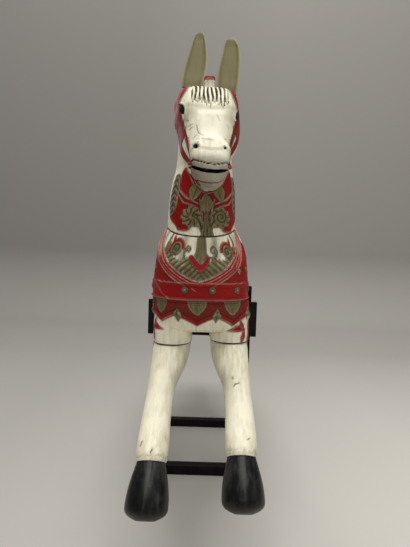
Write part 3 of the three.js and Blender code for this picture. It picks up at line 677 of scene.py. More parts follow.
def apply_to(pattern, chosen, action, *values):
    """Runs one carving step on the chosen points only."""
    part = {name: numbers[chosen] for name, numbers in pattern.items()}
    action(part, *[numbers[chosen] for numbers in values])
    for name, numbers in part.items():
        pattern[name][chosen] = numbers


# %% [markdown]
# A finished pattern pushes the mesh itself in and out, so the relief is real and shows from
# every side, and its paints are stored at the points for the finish to read.


# %% Carving and finishing a piece
def carve_and_paint(mesh, pattern, sharp=35):
    """Pushes each point out by the pattern's height and stores the paints at the points."""
    place, square = points_of(mesh)
    moved = to_frame(place + square * pattern["height"][:, None])
    mesh.vertices.foreach_set("co", moved.astype(np.float32).ravel())
    for name, values in pattern.items():
        if name != "height":
            layer = mesh.attributes.new(name, "FLOAT", "POINT")
            layer.data.foreach_set("value", values.astype(np.float32))
    mesh.shade_smooth()
    mesh.set_sharp_from_angle(angle=math.radians(sharp))
    mesh.update()


def finished(name, mesh, finish, slot, *stands_for):
    """Puts the mesh in the scene as a piece that stands for CAD nodes."""
    mesh.materials.clear()
    mesh.materials.append(finish)
    piece = shown(name, mesh)
    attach(piece, "root")
    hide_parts(*stands_for)
    triangles = sum(len(face.vertices) - 2 for face in mesh.polygons)
    print(f"{name}: {triangles} triangles")
    return piece


# %% [markdown]
# ## The body
# On the real horse the body is a block of glued planks, rounded outside. Here it is a row of
# sections from chest to rump. The chest draws in to a point, and near it the rings are spaced
# evenly across the front instead of along the body, so that the carving there gets points
# every two or three millimetres.

# %% Body surface
LENGTH = 1120.0
body_axis = curve([(0, 815), (150, 812), (500, 850), (900, 880), (1120, 890)])
body_half = curve([(0, 152), (170, 152), (300, 146), (520, 136), (720, 140), (940, 160),
                   (1120, 146)])
body_top = curve([(0, 1088), (150, 1092), (300, 1086), (352, 1066), (392, 1060), (462, 1016),
                  (545, 1008), (612, 1050), (640, 1066), (668, 1026), (740, 1024), (880, 1044),
                  (1000, 1030), (1120, 1000)])
body_bottom = curve([(0, 690), (120, 684), (330, 664), (470, 664), (700, 684), (860, 704),
                     (1120, 712)])
body_square = curve([(0, 4.6), (230, 4.2), (430, 2.9), (1120, 2.7)])
CHEST = {"half": 152.0, "reach": 150.0, "squareness": 2.35}
RUMP = {"reach": 210.0, "squareness": 2.2}


def body_stations():
    """Places of the rings: evenly across the chest, then along the body, then over the rump."""
    across = np.linspace(0.012, 1, 92)
    n = CHEST["squareness"]
    chest = CHEST["reach"] * (1 - (1 - across**n)**(1 / n))
    middle = np.linspace(CHEST["reach"], LENGTH - 200, 88)[1:-1]
    across = np.linspace(1, 0.03, 30)
    n = RUMP["squareness"]
    rump = LENGTH - RUMP["reach"] * (1 - (1 - across**n)**(1 / n))
    return np.concatenate([chest, middle, rump])


def body_rings(y, columns):
    """Section at each y: half width, rise and fall come from the curves and draw in towards
    both ends; it is rounder above its axis than below."""
    y, angle = y[:, None], turn_around(columns)[None, :]

    def inset(front, back):
        """Draw-in at both ends: one quarter superellipse over each of the two reaches."""
        return (end_round(y, front, CHEST["squareness"])
                * end_round(LENGTH - y, back, RUMP["squareness"]))

    axis = body_axis(y)
    half = body_half(y) * inset(CHEST["reach"], RUMP["reach"])
    rise = (body_top(y) - axis) * inset(100, 230)
    fall = (axis - body_bottom(y)) * inset(62, 190)
    across, up = superellipse(angle, np.where(np.sin(angle) >= 0, 2.25, body_square(y)))
    return np.stack([half * across, y + 0 * across, axis + np.where(up > 0, rise, fall) * up], -1)


body_skin = closed_skin("body_skin", body_rings(body_stations(), 392))
print("body surface:", len(body_skin.data.vertices), "points")

# %% [markdown]
# The legs start as short stubs of the body block. The front ones are upright, with a level
# joint; the hind ones are the thick ends of slanting legs. Each stretched leg follows one
# straight slanting axis, and curves along it give its sideways place, its width and its depth.

# %% Leg measures
FORE = {
    "centre": 6, "slope": math.radians(52), "y": 83, "z": 611, "way": -1, "root": -75, "hoof": 318,
    "outward": curve([(-75, 90), (0, 94), (45, 101), (110, 114), (200, 121), (318, 124),
                      (444, 126)]),
    "width": curve([(-75, 61), (0, 58), (45, 52.5), (110, 41.5), (165, 40.5), (225, 43), (285, 45),
                    (306, 43), (318, 38)]),
    "depth": curve([(-75, 58), (0, 57), (45, 54), (110, 47), (165, 43), (225, 43), (285, 46),
                    (306, 44), (318, 39)]),
}
HIND = {
    "centre": 0, "slope": math.radians(43), "y": 1046, "z": 716, "way": 1, "root": -150,
    "hoof": 346,
    "outward": curve([(-150, 88), (0, 98), (90, 104), (180, 109), (346, 117), (450, 119)]),
    "width": curve([(-150, 62), (0, 62), (80, 52), (150, 42), (185, 41), (240, 35), (300, 39),
                    (332, 41), (346, 36)]),
    "depth": curve([(-150, 88), (0, 80), (80, 64), (150, 50), (185, 48), (240, 37), (300, 41),
                    (332, 44), (346, 38)]),
}
JOINT_LEVEL, GAP = {-1: 648.0, 1: 657.0}, 0.3
STUB = {"outward": 91, "half": 62, "deep": 75, "height": 130}
print("foreleg from joint to hoof:", FORE["hoof"], "mm; hind leg:", HIND["hoof"], "mm")

# %% [markdown]
# A leg is a row of rings square to its axis; level rings would be simpler, but they would lean
# on a leg that slants. The hoof is more rings that flare out and turn in again at the sole, and
# the front of each stretches towards the toe.

# %% Leg surface
FLARE, WIDEST, SOLE, TOE = 1.44, 0.76, 0.42, 1.2


def leg_axis(leg):
    """Direction down the leg, and the one square to it on the leg's under side."""
    tilt, way = leg["slope"], leg["way"]
    return (np.array([0, way * math.cos(tilt), -math.sin(tilt)]),
            np.array([0, -way * math.sin(tilt), -math.cos(tilt)]))


def leg_rings(leg, side, extra, hoof_length, columns=72, spacing=4.0):
    """Rings down one leg. Along the axis s runs from above the joint to the sole; a hoof grows
    to FLARE times its top at WIDEST of its length, and its front stretches towards the toe."""
    hoof = leg["hoof"]
    shaft = np.arange(leg["root"], hoof - 0.5, spacing)
    down = np.concatenate([[0.004, 0.02, 0.05], np.linspace(0.09, 1, 26)])
    s = np.concatenate([shaft, hoof + hoof_length * down])
    in_hoof = np.concatenate([np.zeros(len(shaft)), down])
    spread = 1 + (FLARE - 1) * np.sin(np.pi / 2 * np.minimum(in_hoof / WIDEST, 1))
    past = np.clip(in_hoof - WIDEST, 0, None) / (1 - WIDEST)
    hoof_half = (leg["width"](hoof) + 1.5) * spread * (1 - (1 - SOLE) * past**3)
    half = np.where(in_hoof > 0, hoof_half, leg["width"](s))
    deep = np.where(in_hoof > 0, hoof_half, leg["depth"](s))
    stretch = np.where(s > 0, s * (1 + extra / hoof), s)
    along, under = leg_axis(leg)
    centre = np.stack([leg["centre"] + side * leg["outward"](s), np.full(len(s), leg["y"]),
                       np.full(len(s), leg["z"])], -1) + stretch[:, None] * along
    angle = turn_around(columns)[None, :]
    below = -np.sin(angle)
    toe = 1 + (TOE - 1) * in_hoof[:, None] * np.maximum(-below, 0)
    rings = centre[:, None, :] + (deep[:, None] * below * toe)[..., None] * under
    rings[..., 0] += half[:, None] * np.cos(angle)
    return rings


# %% [markdown]
# The stubs and the leg's joint plane are needed twice, once for the body and once for the legs.


# %% Stubs and joint planes
def stub_rings(side):
    """Upright shoulder stub over a foreleg: level superellipses, slightly smaller upwards."""
    angle = turn_around(96)[None, :]
    share = np.linspace(0, 1, 40)[:, None]
    size = 1 - 0.1 * share**2.5
    across, along = superellipse(angle, 2.3)
    x = FORE["centre"] + side * STUB["outward"]
    y = FORE["y"] + (JOINT_LEVEL[side] - FORE["z"]) / math.tan(FORE["slope"])
    return np.stack([x + STUB["half"] * size * across, y + STUB["deep"] * size * along,
                     JOINT_LEVEL[side] + STUB["height"] * share + 0 * across], -1)


def axis_distance(place, leg):
    """How far down a leg's axis each point lies, from the joint."""
    return ((place[:, 1] - leg["y"]) * leg["way"] * math.cos(leg["slope"])
            - (place[:, 2] - leg["z"]) * math.sin(leg["slope"]))


def leg_cutter(name, leg, below):
    """A large block on one side of the joint plane that is square to the leg's axis."""
    along, under = leg_axis(leg)
    start = np.array([0, leg["y"], leg["z"]], float) + (0 if below else GAP) * along
    reach = 900 * (1 if below else -1)
    corners = [(-400, -400), (400, -400), (400, 400), (-400, 400)]
    rings = [[start + s * along + np.array([a, 0, 0]) - b * under for a, b in corners]
             for s in (0, reach)]
    return closed_skin(name, np.array(rings))


# %% [markdown]
# The neck stands on a sloping joint. Its outline is needed here already, because the shoulders
# spread from it like a skirt.

# %% Neck joint and neck outline
SEAM_Y, SEAM_Z, SEAM_SLOPE, SEAM_BACK, SEAM_FRONT = 40.0, 983.0, 0.27, 352.0, -60.0
NECK_SQUARENESS = 2.3


def seam_height(y):
    """Height of the sloping joint: its level at SEAM_Y plus the slope times the way back."""
    return SEAM_Z + SEAM_SLOPE * (y - SEAM_Y)


neck_front = curve([(930, 46), (990, 42), (1100, 44), (1180, 56), (1250, 78), (1330, 84),
                    (1466, 66)])
neck_back = curve([(930, 372), (1060, 346), (1120, 310), (1200, 274), (1300, 238), (1400, 204),
                   (1466, 178)])
neck_half = curve([(930, 116), (1000, 113.5), (1090, 109.5), (1158, 101), (1204, 92), (1300, 86),
                   (1466, 82)])
neck_side = curve([(930, -4.5), (1090, -4.5), (1204, 0)])


def neck_plan(z):
    """Middle and half depth of the neck at a height, from its front and back curves."""
    return (neck_front(z) + neck_back(z)) / 2, (neck_back(z) - neck_front(z)) / 2


print("neck at the joint:", [round(float(value)) for value in neck_plan(SEAM_Z)], "mm")

# %% [markdown]
# The shoulders are cut with one tool: a slab under the joint with the spread taken out of it is
# the waste, and the body loses the waste.

# %% Shoulders
SHOULDER_DEPTH = 105.0
shoulder_spread = curve([(-6, -3), (0, 0.5), (40, 25), (75, 50), (112, 82)])


def shoulder_rings():
    """Rings below the joint: the neck's outline there, pushed out by the spread at each drop,
    and by 0.6 of it at the middle of the front."""
    drop, angle = np.linspace(-6, 112, 46)[:, None], turn_around(392)[None, :]
    across, along = superellipse(angle, NECK_SQUARENESS)
    middle, deep = neck_plan(SEAM_Z)
    z = seam_height(middle + deep * along)
    middle, deep = neck_plan(z)
    x, y = neck_side(z) + neck_half(z) * across, middle + deep * along
    share, from_middle = 0.6 + 0.4 * np.abs(across), y - middle
    out = shoulder_spread(drop) * share / np.hypot(x, from_middle)
    y_out = y + from_middle * out
    return np.stack([x * (1 + out), y_out, seam_height(y_out) - drop], -1)


seam_ends = (SEAM_FRONT, SEAM_BACK)
seam_levels = [seam_height(y) for y in seam_ends]
slab = sloped_block("shoulder_waste", 300, seam_ends,
                    [level - SHOULDER_DEPTH for level in seam_levels], (1220, 1220))
waste = shown("waste", made_one(slab, removed=[closed_skin("shoulders", shoulder_rings())]))
print("waste outside the shoulders:", len(waste.data.vertices), "points")

# %% [markdown]
# Now the body block itself: the stubs and haunches are joined on, and the room of the neck, the
# waste and the room of the hind legs are cut away.

# %% Body block
stubs = [closed_skin("stub", stub_rings(side)) for side in (-1, 1)]
haunches = []
for side in (-1, 1):
    rings = leg_rings(HIND, side, 0, 104, columns=96, spacing=6.0)
    haunches.append(closed_skin("haunch", rings[: int(170 / 6.0) + 2]))
neck_room = sloped_block("neck_room", 300, seam_ends, seam_levels, (1200, 1200))
hind_room = leg_cutter("hind_room", HIND, below=True)
body_mesh = made_one(body_skin, stubs + haunches, [neck_room, waste, hind_room])
place = points_of(body_mesh)[0]
print("body block:", len(place), "points")

# %% [markdown]
# Around the chest the pattern's u is the length of a tape laid round it from the middle of the
# front. It is summed along the plan curve and looked up for each point by its direction.


# %% Tape round the chest
def chest_tape(x, y):
    """Signed length round the chest: along the plan superellipse to its widest point, then
    straight back along the flank."""
    half, reach, n = CHEST["half"], CHEST["reach"], CHEST["squareness"]
    quarter = np.linspace(0, np.pi / 2, 721)
    plan_x = half * np.sin(quarter)**(2 / n)
    plan_y = reach * (1 - np.cos(quarter)**(2 / n))
    steps = np.hypot(np.diff(plan_x), np.diff(plan_y))
    length = np.concatenate([[0], np.cumsum(steps)])
    direction = np.arctan2(plan_x / half, 1 - plan_y / reach)
    found = np.arctan2(np.abs(x) / half, np.clip(1 - y / reach, 0, None))
    return np.sign(x) * (np.interp(found, direction, length) + np.clip(y - reach, 0, None))


TAPE_SIDE = float(chest_tape(np.array([CHEST["half"]]), np.array([CHEST["reach"]]))[0])
print("tape from the middle to the side:", round(TAPE_SIDE), "mm")

# %% [markdown]
# The skirt under the breast strap is a row of pointed scallops. Each has a red ribbed border
# and a gold shield, and a gold diamond hangs between two of them. The lower edge is a zigzag,
# and the inside distance to it is the height above it, shortened by the slope of the edge.

# %% Skirt
STRAP_LEVEL, STRAP_HALF = 820, 27
SKIRT_MIDDLE, SCALLOP, SKIRT_ENDS = -7.0, 120.0, 300.0


def skirt(pattern, u, v):
    """Scalloped skirt: height above the zigzag edge, times the cosine of the edge's slope. The
    third shield was carved a little off its middle."""
    order = np.round((u - SKIRT_MIDDLE) / SCALLOP)
    along = u - SKIRT_MIDDLE - SCALLOP * order
    within = SKIRT_ENDS - np.abs(u - SKIRT_MIDDLE)
    edge = 714 + 30 * (2 * np.abs(along) / SCALLOP)**0.9 + np.where(order == -1, 7, 0)
    cloth = overlap((v - edge) * 0.88, 800 - v, within)
    motif(pattern, cloth, "red", 4.0, wash=0.7, light=0.3)
    pattern["height"] += 3.4 * bell(cloth - 7, 4.5) * step(790 - v, 0, 12)
    carved_line(pattern, np.where(v < 786, cloth - 14, FAR), 2.4, 2.2, 1.0)
    carved_line(pattern, np.where(v < 780, cloth - 21, FAR), 1.2, 1.6, 0.6)
    lit_edge(pattern, np.where(v < 790, cloth - 3.2, FAR), 1.3, 0.5)
    across = along + np.where(order == 1, 8, 0)
    wide = np.where(order == -1, 0.82, np.where(order == 1, 1.0, 0.92))
    shape = flowing([(-29, 802), (29, 802), (29.5, 782), (24, 768), (13, 757), (0, 750),
                     (-13, 757), (-24, 768), (-29.5, 782)], 4)
    shield = overlap(patch(across / wide, v, shape), within)
    motif(pattern, shield, "gold", -1.2, wash=1.0, light=0.2)
    leaf = np.minimum(repeated(across + 0.35 * (v - 760), 13.0), repeated(across, 27.0))
    carved_line(pattern, leaf, 0.7, 1.4, 0.4, within=shield - 3)
    field = 0.42 * step(cloth, 15, 20) * step(-shield, 0, 2) * step(796 - v, 0, 6)
    add_dirt_and_shade(pattern, field)
    between = SCALLOP / 2 - np.abs(along)
    gusset = bell(between, 15) * step(v, 756, 768) * step(within, -1, 3)
    add_dirt_and_shade(pattern, 0.6 * gusset * (shield < 0))
    diamond = (1 - between / 13 - np.abs(v - 749) / 21) * 11
    diamond = overlap(diamond, within - 20)
    motif(pattern, diamond, "gold", 1.8, wash=0.9, light=0.2)
    carved_line(pattern, between, 0.8, 1.2, 0.6, within=diamond - 2)


print("skirt:", round(2 * SKIRT_ENDS / SCALLOP), "scallops of", SCALLOP, "mm")

# %% [markdown]
# A red flower lies on each side of the chest, over the foreleg.


# %% Flowers
def flower(pattern, u, v, side, nearer):
    """Red flower beside the stub: three petals and a leaf that meet at the side of the chest."""
    petals = [
        [(172, 700, 5), (152, 704, 11), (124, 697, 1.5)],
        [(168, 698, 4), (162, 714, 8), (156, 730, 1.5)],
        [(170, 694, 5), (168, 678, 9), (160, 656, 1.5)],
    ]
    for petal in petals:
        path = [(side * (a - nearer), b, c) for a, b, c in petal]
        motif(pattern, stroke(u, v, path), "red", 1.6, wash=0.6, light=0.5)
    leaf = [(side * (200 - nearer), 726, 4), (side * (206 - nearer), 700, 12),
            (side * (202 - nearer), 668, 12), (side * (190 - nearer), 647, 5)]
    motif(pattern, stroke(u, v, leaf), "red", 1.6, wash=0.6, light=0.5)
    vein = [(side * (198 - nearer), 716, 0.1), (side * (196 - nearer), 656, 0.1)]
    carved_line(pattern, -stroke(u, v, vein), 1.2, 1.6, 0.8)


# %% [markdown]
# The bib over the breast strap is cream, edged below by a curved strap that hangs from the
# shoulders. A gold stem comes down its middle to a red heart, with a thin hooked scroll and a
# larger volute under a red crescent on each side, all growing out of a bed of gold leaves.


# %% Curved strap, volutes and hooks
def bib_edge(u):
    """Height of the curved strap's inner edge, and the cosine of its slope there."""
    away = np.abs(u + 5) / 150
    return 850 + 96 * away**1.45, 1 / np.sqrt(1 + (0.94 * away**0.45)**2)


leaf_bed = curve([(-128, 965), (-112, 940), (-98, 922), (-84, 915), (-70, 908), (-58, 914),
                  (-44, 918), (-30, 906), (0, 880), (28, 905), (42, 918), (58, 914), (72, 912),
                  (88, 918), (104, 930), (124, 954)])


def volute(pattern, u, v, side, centre, level, outer):
    """Gold scroll under a red crescent that arches over it and ends in a spike."""
    away, up = side * (u - centre), v - level
    radius = np.hypot(away, up)
    crescent = overlap(outer - radius, radius - 16, up + 9 + 0.25 * away)
    spike = stroke(away, up, [(17, 19, 9), (23, 32, 7), (26, outer + 13, 1)])
    motif(pattern, np.maximum(crescent, spike), "red", 2.4, wash=0.8, light=0.35)
    carved_line(pattern, radius - 26, 0.9, 1.3, 0.6, within=crescent - 2)
    motif(pattern, 20.5 - radius, "gold", 2.6, 5.0, wash=1.0, light=0.3)
    winding = scroll((0, 0), 18, 1.6, math.radians(250), 1, 0.1)
    carved_line(pattern, -stroke(away, up, winding), 2.0, 1.9, 1.0, within=20.5 - radius)


HOOKS = {
    -1: [(-58, 918, 3.4), (-60.5, 932, 2.8), (-58, 945, 2.5), (-51, 953.5, 2.3), (-43.5, 951, 2.2),
         (-41, 944, 2.1), (-45, 938, 2), (-50.5, 941, 2), (-49.5, 945.5, 1.6)],
    1: [(25, 921, 3), (43, 920, 3), (53, 927, 2.8), (57.5, 939, 2.5), (53, 950, 2.3), (44, 955, 2.2),
        (36, 948, 2), (37, 937, 2), (44.5, 933, 2), (50, 938.5, 1.9), (46.5, 944, 1.6)],
}
print("curved strap is", round(float(bib_edge(-5.0)[0])), "mm up at the middle")

# %% [markdown]
# The layers go on from the lowest: the bed of leaves, the strips at the shoulders, volutes,
# hooks, stem and heart, the red fields outside, and the curved strap over the ends of all.


# %% Bib
def bib(pattern, u, v):
    """Everything above the breast strap, laid on in the order that the carver would."""
    edge, lean = bib_edge(u)
    beyond = (v - edge) * lean
    travel = np.abs(u) * 1.15
    top = leaf_bed(u) + 2.6 * np.cos(2 * np.pi * u / 12.5)
    bed = overlap((top - v) * 0.8, beyond - 1.0, 152 - np.abs(u))
    motif(pattern, bed, "gold", 2.6, wash=1.0, light=0.3)
    grooves = repeated(travel + 0.9 * beyond, 15.0)
    carved_line(pattern, grooves, 1.9, 2.0, 0.95, within=bed - 1)
    lit_edge(pattern, np.where(np.abs(u) > 50, repeated(travel + 0.9 * beyond + 6, 15.0), FAR),
             1.9, 0.5, within=bed - 5)
    for path in ([(-139, 992, 5), (-143, 974, 6), (-137, 956, 6), (-128, 938, 4)],
                 [(145, 992, 5), (151, 972, 6), (145, 953, 6), (132, 938, 4)]):
        strip = stroke(u, v, path)
        motif(pattern, strip, "gold", 1.6, wash=0.8, light=0.4)
        carved_line(pattern, repeated(v, 13.0), 1.0, 1.5, 0.7, within=strip - 1)
    volute(pattern, u, v, -1, -94, 945, 34)
    volute(pattern, u, v, 1, 101, 938, 32)
    for hook in HOOKS.values():
        motif(pattern, stroke(u, v, hook), "gold", 2.2, 2.5, wash=1.0, light=0.0)
    stem = patch(u, v, [(-17, 1030), (15, 1030), (17, 950), (18, 936), (25, 924), (0, 902),
                        (-24, 924), (-19, 936), (-17, 950)])
    motif(pattern, stem, "gold", 2.6, wash=1.0, light=0.15)
    for offset in (-10.0, 11.0):
        fan = offset * (1 + 0.35 * step(950 - v, 0, 30))
        carved_line(pattern, u - fan, 1.0, 1.2, 0.6, within=stem - 3)
    carved_line(pattern, u + 1, 0.6, 1.4, 0.25, within=stem - 3)
    heart = patch(u, v, flowing([(-41, 915), (-34, 927), (-24, 921), (0, 901), (17, 919),
                                 (25, 923), (28, 909), (0, 875)], 4))
    motif(pattern, heart, "red", 3.0, wash=0.9, light=0.1)
    outer = overlap(-26 - beyond, 268 - 0.25 * (v - 850) - np.abs(u))
    motif(pattern, overlap(outer, v - 835), "red", 2.2, wash=0.7, light=0.45)
    carved_line(pattern, repeated(beyond + 2, 14.0), 1.4, 1.5, 0.85,
                within=overlap(outer - 3, v - 838))
    for at_u, at_v in ((129, 882), (178, 887), (-180, 887), (215, 925), (-215, 925)):
        diamond = (1 - np.abs(u - at_u) / 8 - np.abs(v - at_v) / 11) * 7
        motif(pattern, diamond, "gold", 1.6, 2.5, light=0.6)
    curved = 14 - np.abs(beyond + 14)
    band = overlap(curved, v - 835)
    motif(pattern, band, "red", 4.5, wash=0.8, light=0.55)
    carved_line(pattern, curved - 6.5, 1.8, 1.5, 0.7, within=v - 838)
    lit_edge(pattern, curved - 9.5, 1.4, 0.55, within=v - 838)
    worn = step(np.abs(u), 138, 165) * step(band, 0, 2)
    rub_and_highlight(pattern, 0.45 * worn)


# %% [markdown]
# The breast strap goes on last, over the ends of skirt and bib, with a row of round studs. It
# is carved from the block like all the rest, as a strap of leather would lie.


# %% Breast strap
def breast_strap(pattern, u, v):
    """Level strap round the chest with a border line and studs every 81 mm."""
    strap = overlap(STRAP_HALF - np.abs(v - STRAP_LEVEL), TAPE_SIDE + 242 - np.abs(u))
    motif(pattern, strap, "red", 4.0, 4.0, wash=0.9, light=0.35)
    carved_line(pattern, strap - 6, 1.2, 1.3, 0.5)
    stud = 9.5 - np.hypot((u - 36 + 40.5) % 81 - 40.5, v - 825)
    stud = np.where((np.abs(u) < TAPE_SIDE + 220) & (np.abs(u + 126) > 30), stud, -FAR)
    motif(pattern, stud, "gold", 3.6, 6.0, wash=1.0, light=0.0)
    carved_line(pattern, stud - 4.5, 0.5, 1.2, 0.7)
    rub_and_highlight(pattern, 0.5 * step(stud, 6.0, 7.5))
    for path in ([(-182, 846, 0.1), (-150, 830, 0.1), (-118, 806, 0.1), (-92, 796, 0.1)],
                 [(-160, 842, 0.1), (-131, 818, 0.1)], [(-24, 829, 0.1), (-14, 822, 0.1)]):
        lit_edge(pattern, -stroke(u, v, path), 1.1, 0.4)


# %% [markdown]
# ## Saddle, cloth and girth
# The horse's back is plainer. A padded saddle lies on a scalloped cloth, a girth goes round
# the belly, and a crupper strap runs back to the tail. Seen from the side they are flat
# patterns in y and z, so the same drawing helpers serve.


# %% Saddle and straps
def saddle_and_straps(pattern, x, y, z):
    """Shapes in the side view, where u is y and v is z, and the crupper along the back."""
    girth = overlap(34 - np.abs(y - 526), 872 - z)
    motif(pattern, girth, "red", 4.5, 4.0, light=0.4)
    carved_line(pattern, girth - 6, 1.2, 1.2, 0.5)
    lower = 772 - 24 * np.abs(np.sin(np.pi * (y - 366) / 68))**0.8
    cloth = overlap(y - 366, 706 - y, (z - lower) * 0.9)
    motif(pattern, cloth, "red", 3.5, 4.0, wash=0.7, light=0.45)
    carved_line(pattern, cloth - 7, 1.2, 1.3, 0.6)
    carved_line(pattern, cloth - 20, 1.2, 1.3, 0.6)
    trim = 5.5 - np.abs(cloth - 13.5)
    motif(pattern, trim, "gold", 0.8, 2.0, wash=0.3, light=0.3)
    for column in range(5):
        at_y = 400 + 68 * column
        diamond = (1 - np.abs(y - at_y) / 12 - np.abs(z - 808) / 16) * 9
        motif(pattern, diamond, "gold", 1.5, 2.5, light=0.3)
    outline = flowing([(384, 1200), (384, 950), (392, 862), (440, 838), (596, 838), (644, 862),
                       (652, 950), (652, 1200)], 6)
    saddle = patch(y, z, outline)
    motif(pattern, saddle, "gold", 8.0, 9.0, wash=0.9, light=0.4)
    carved_line(pattern, saddle - 14, 1.6, 1.5, 0.8)
    carved_line(pattern, saddle - 34, 1.4, 1.5, 0.7)
    crupper = np.where(z > 930, overlap(13 - np.abs(x), y - 700, 1092 - y), -FAR)
    motif(pattern, crupper, "red", 3.5, 3.0, light=0.4)
    hip = stroke(y, z, [(700, 930, 11), (830, 900, 12), (960, 912, 12), (1110, 960, 11)])
    motif(pattern, hip, "red", 3.5, 3.0, light=0.4)
    carved_line(pattern, hip - 4, 1.0, 1.2, 0.5)
    stud = 7 - np.hypot((y - 730 + 30) % 60 - 30, z - 905)
    motif(pattern, np.where((y > 712) & (y < 1000), overlap(stud, hip), -FAR), "gold", 2.5, 4.0)


# %% [markdown]
# The two joints that show, under the neck and over the legs, are thin dark lines: the paint
# has cracked where the blocks meet and both edges are worn round.

# %% Carve and paint the body
pattern = bare_wood(len(place))
x, y, level = place.T
tape = chest_tape(x, y)
flower(pattern, tape, level, -1, 0)
flower(pattern, tape, level, 1, 15)
skirt(pattern, tape, level)
bib(pattern, tape, level)
breast_strap(pattern, tape, level)
apply_to(pattern, y > 330, saddle_and_straps, *place.T)
over_joint = level - np.where(x > 0, JOINT_LEVEL[1], JOINT_LEVEL[-1])
under_seam = seam_height(y) - level
for gap in (under_seam, over_joint):
    carved_line(pattern, np.where(np.abs(y) < 380, gap, FAR), 2.2, 1.6, 1.0)
hind_gap = -axis_distance(place, HIND)
carved_line(pattern, np.where(y > 900, hind_gap, FAR), 1.8, 1.6, 1.0)
flat = (np.abs(under_seam) < 0.05) | (np.abs(over_joint) < 0.05)
pattern["height"][flat] = np.minimum(pattern["height"][flat], 0)
crack = stroke(tape, level, [(-11, 712, 0.1), (-12, 700, 0.1), (-10, 690, 0.1)])
carved_line(pattern, -crack, 0.8, 1.0, 0.7)
carve_and_paint(body_mesh, pattern)
finished("body_carving", body_mesh, horse_finish, "painted_horse", "body")

# %% [markdown]
# ## Legs
# Each leg is one surface down to the sole, cut off just under its joint. The hoof is painted
# black to a line a little below the fetlock, and dirt has gathered in the hair line over it.
# The forelegs are not quite alike: the one on the horse's left is shorter, with a longer hoof.

# %% Legs
LEG_SCRATCHES = {
    "foreleg_left": [[(-14, 123, 0.6), (-9, 116, 1.0), (4, 112, 0.6)],
                     [(-14, 94, 0.8), (-13, 99, 0.6)], [(14, 277, 0.5), (20, 272, 0.5)]],
    "foreleg_right": [[(0, 299, 0.8), (4, 290, 0.8)], [(-27, 270, 0.5), (-31, 282, 0.6)]],
}


def leg_piece(name, leg, side, extra, hoof_length):
    """One finished leg: rings, the cut at the joint, then its few carved lines and its hoof.
    Points are told apart by their distance down the axis, and lip is that distance past the
    top of the hoof."""
    rings = leg_rings(leg, side, extra, hoof_length, columns=88, spacing=3.0)
    skin = closed_skin(name, rings)
    if leg is FORE:
        cutter = block("above_joint", (-400, -400, JOINT_LEVEL[side] - GAP), (400, 400, 900))
    else:
        cutter = leg_cutter("above_joint", leg, below=False)
    mesh = made_one(skin, removed=[cutter])
    place, square = points_of(mesh)
    x, y, z = place.T
    reach = axis_distance(place, leg) / (1 + extra / leg["hoof"])
    pattern = bare_wood(len(place))
    away = x - leg["centre"] - side * leg["outward"](reach)
    lip = reach - leg["hoof"]
    pattern["black"] = lip + 1.0
    pattern["height"] += 1.5 * bell(lip + 5, 5)
    lit_edge(pattern, lip + 3.0, 2.0, 0.25)
    on_top = square[:, 2] > -0.3
    cleft = np.where(on_top, np.abs(away), FAR)
    pattern["height"] += 1.4 * bell(cleft, 4) * step(lip, 70, 100)
    carved_line(pattern, np.where(on_top, np.abs(away - 12), FAR), 0.7, 3.0, 0.0, within=60 - lip)
    for ring in (22, 34):
        carved_line(pattern, np.where(lip > 0, lip - ring, FAR), 0.5, 1.6, 0.0)
    blots = np.sin(0.5 * x + 3 * np.sin(0.23 * x) + 0.5 * lip)
    add_dirt_and_shade(pattern, 0.42 * bell(lip + 12, 6) * (0.55 + 0.45 * blots))
    if leg is FORE:
        top = JOINT_LEVEL[side] - GAP - z
        outside = stroke(side * (y - 100), z, [(0, 640, 16), (4, 600, 13), (10, 560, 2)])
        facing = side * square[:, 0] > 0.55
        motif(pattern, np.where(facing, outside, -FAR), "red", 0.8, wash=0.5, light=0.3)
    else:
        top = axis_distance(place, leg) - GAP
    for path in LEG_SCRATCHES.get(name, []):
        scratched(pattern, np.where(on_top, stroke(away, reach, path), -FAR), 1.2, 0.9, 0.7)
    # Painted shade: the inner sides of the upper legs, which face away from the light, are painted
    # darker.
    painted_inner_shade = step(-side * square[:, 0], 0.55, 0.95) * step(150 - reach, 0, 60)
    add_dirt_and_shade(pattern, 0.22 * painted_inner_shade * (lip < 0))
    carved_line(pattern, top, 1.8, 1.8, 0.9)
    carve_and_paint(mesh, pattern)
    finished(name + "_carving", mesh, horse_finish, "painted_horse", name)


leg_piece("foreleg_right", FORE, -1, 3, 134)
leg_piece("foreleg_left", FORE, 1, -17, 141)
leg_piece("hindleg_right", HIND, -1, 0, 104)
leg_piece("hindleg_left", HIND, 1, 0, 104)

# %% [markdown]
# ## Neck and head
# Neck and head are one block on the real horse. Here the neck is a stack of level sections,
# and its rings have more points in front, for the carving there.


# %% Neck surface
def neck_rings():
    """Level superellipses; the front half has more points, for the carving there."""
    z = np.concatenate([np.linspace(940, 975, 5), np.linspace(980, 1200, 82),
                        np.linspace(1206, 1425.6, 40)])[:, None]
    side = np.linspace(0, 1, 130, endpoint=False)
    angle = np.concatenate([-np.pi + np.pi * np.linspace(0, 1, 190, endpoint=False),
                            np.pi * side])[None, :]
    inset = end_round(1426 - z, 80, 2)
    middle, deep = neck_plan(z)
    across, along = superellipse(angle, NECK_SQUARENESS)
    x = neck_side(z) + neck_half(z) * inset * across
    return np.stack([x, middle + deep * inset * along, z + 0 * across], -1)


# %% [markdown]
# The head has its own drawing plane: x across it, t down the line of the face from the forehead
# to the lip, and e inwards from that line. It is turned a few degrees to the horse's left.

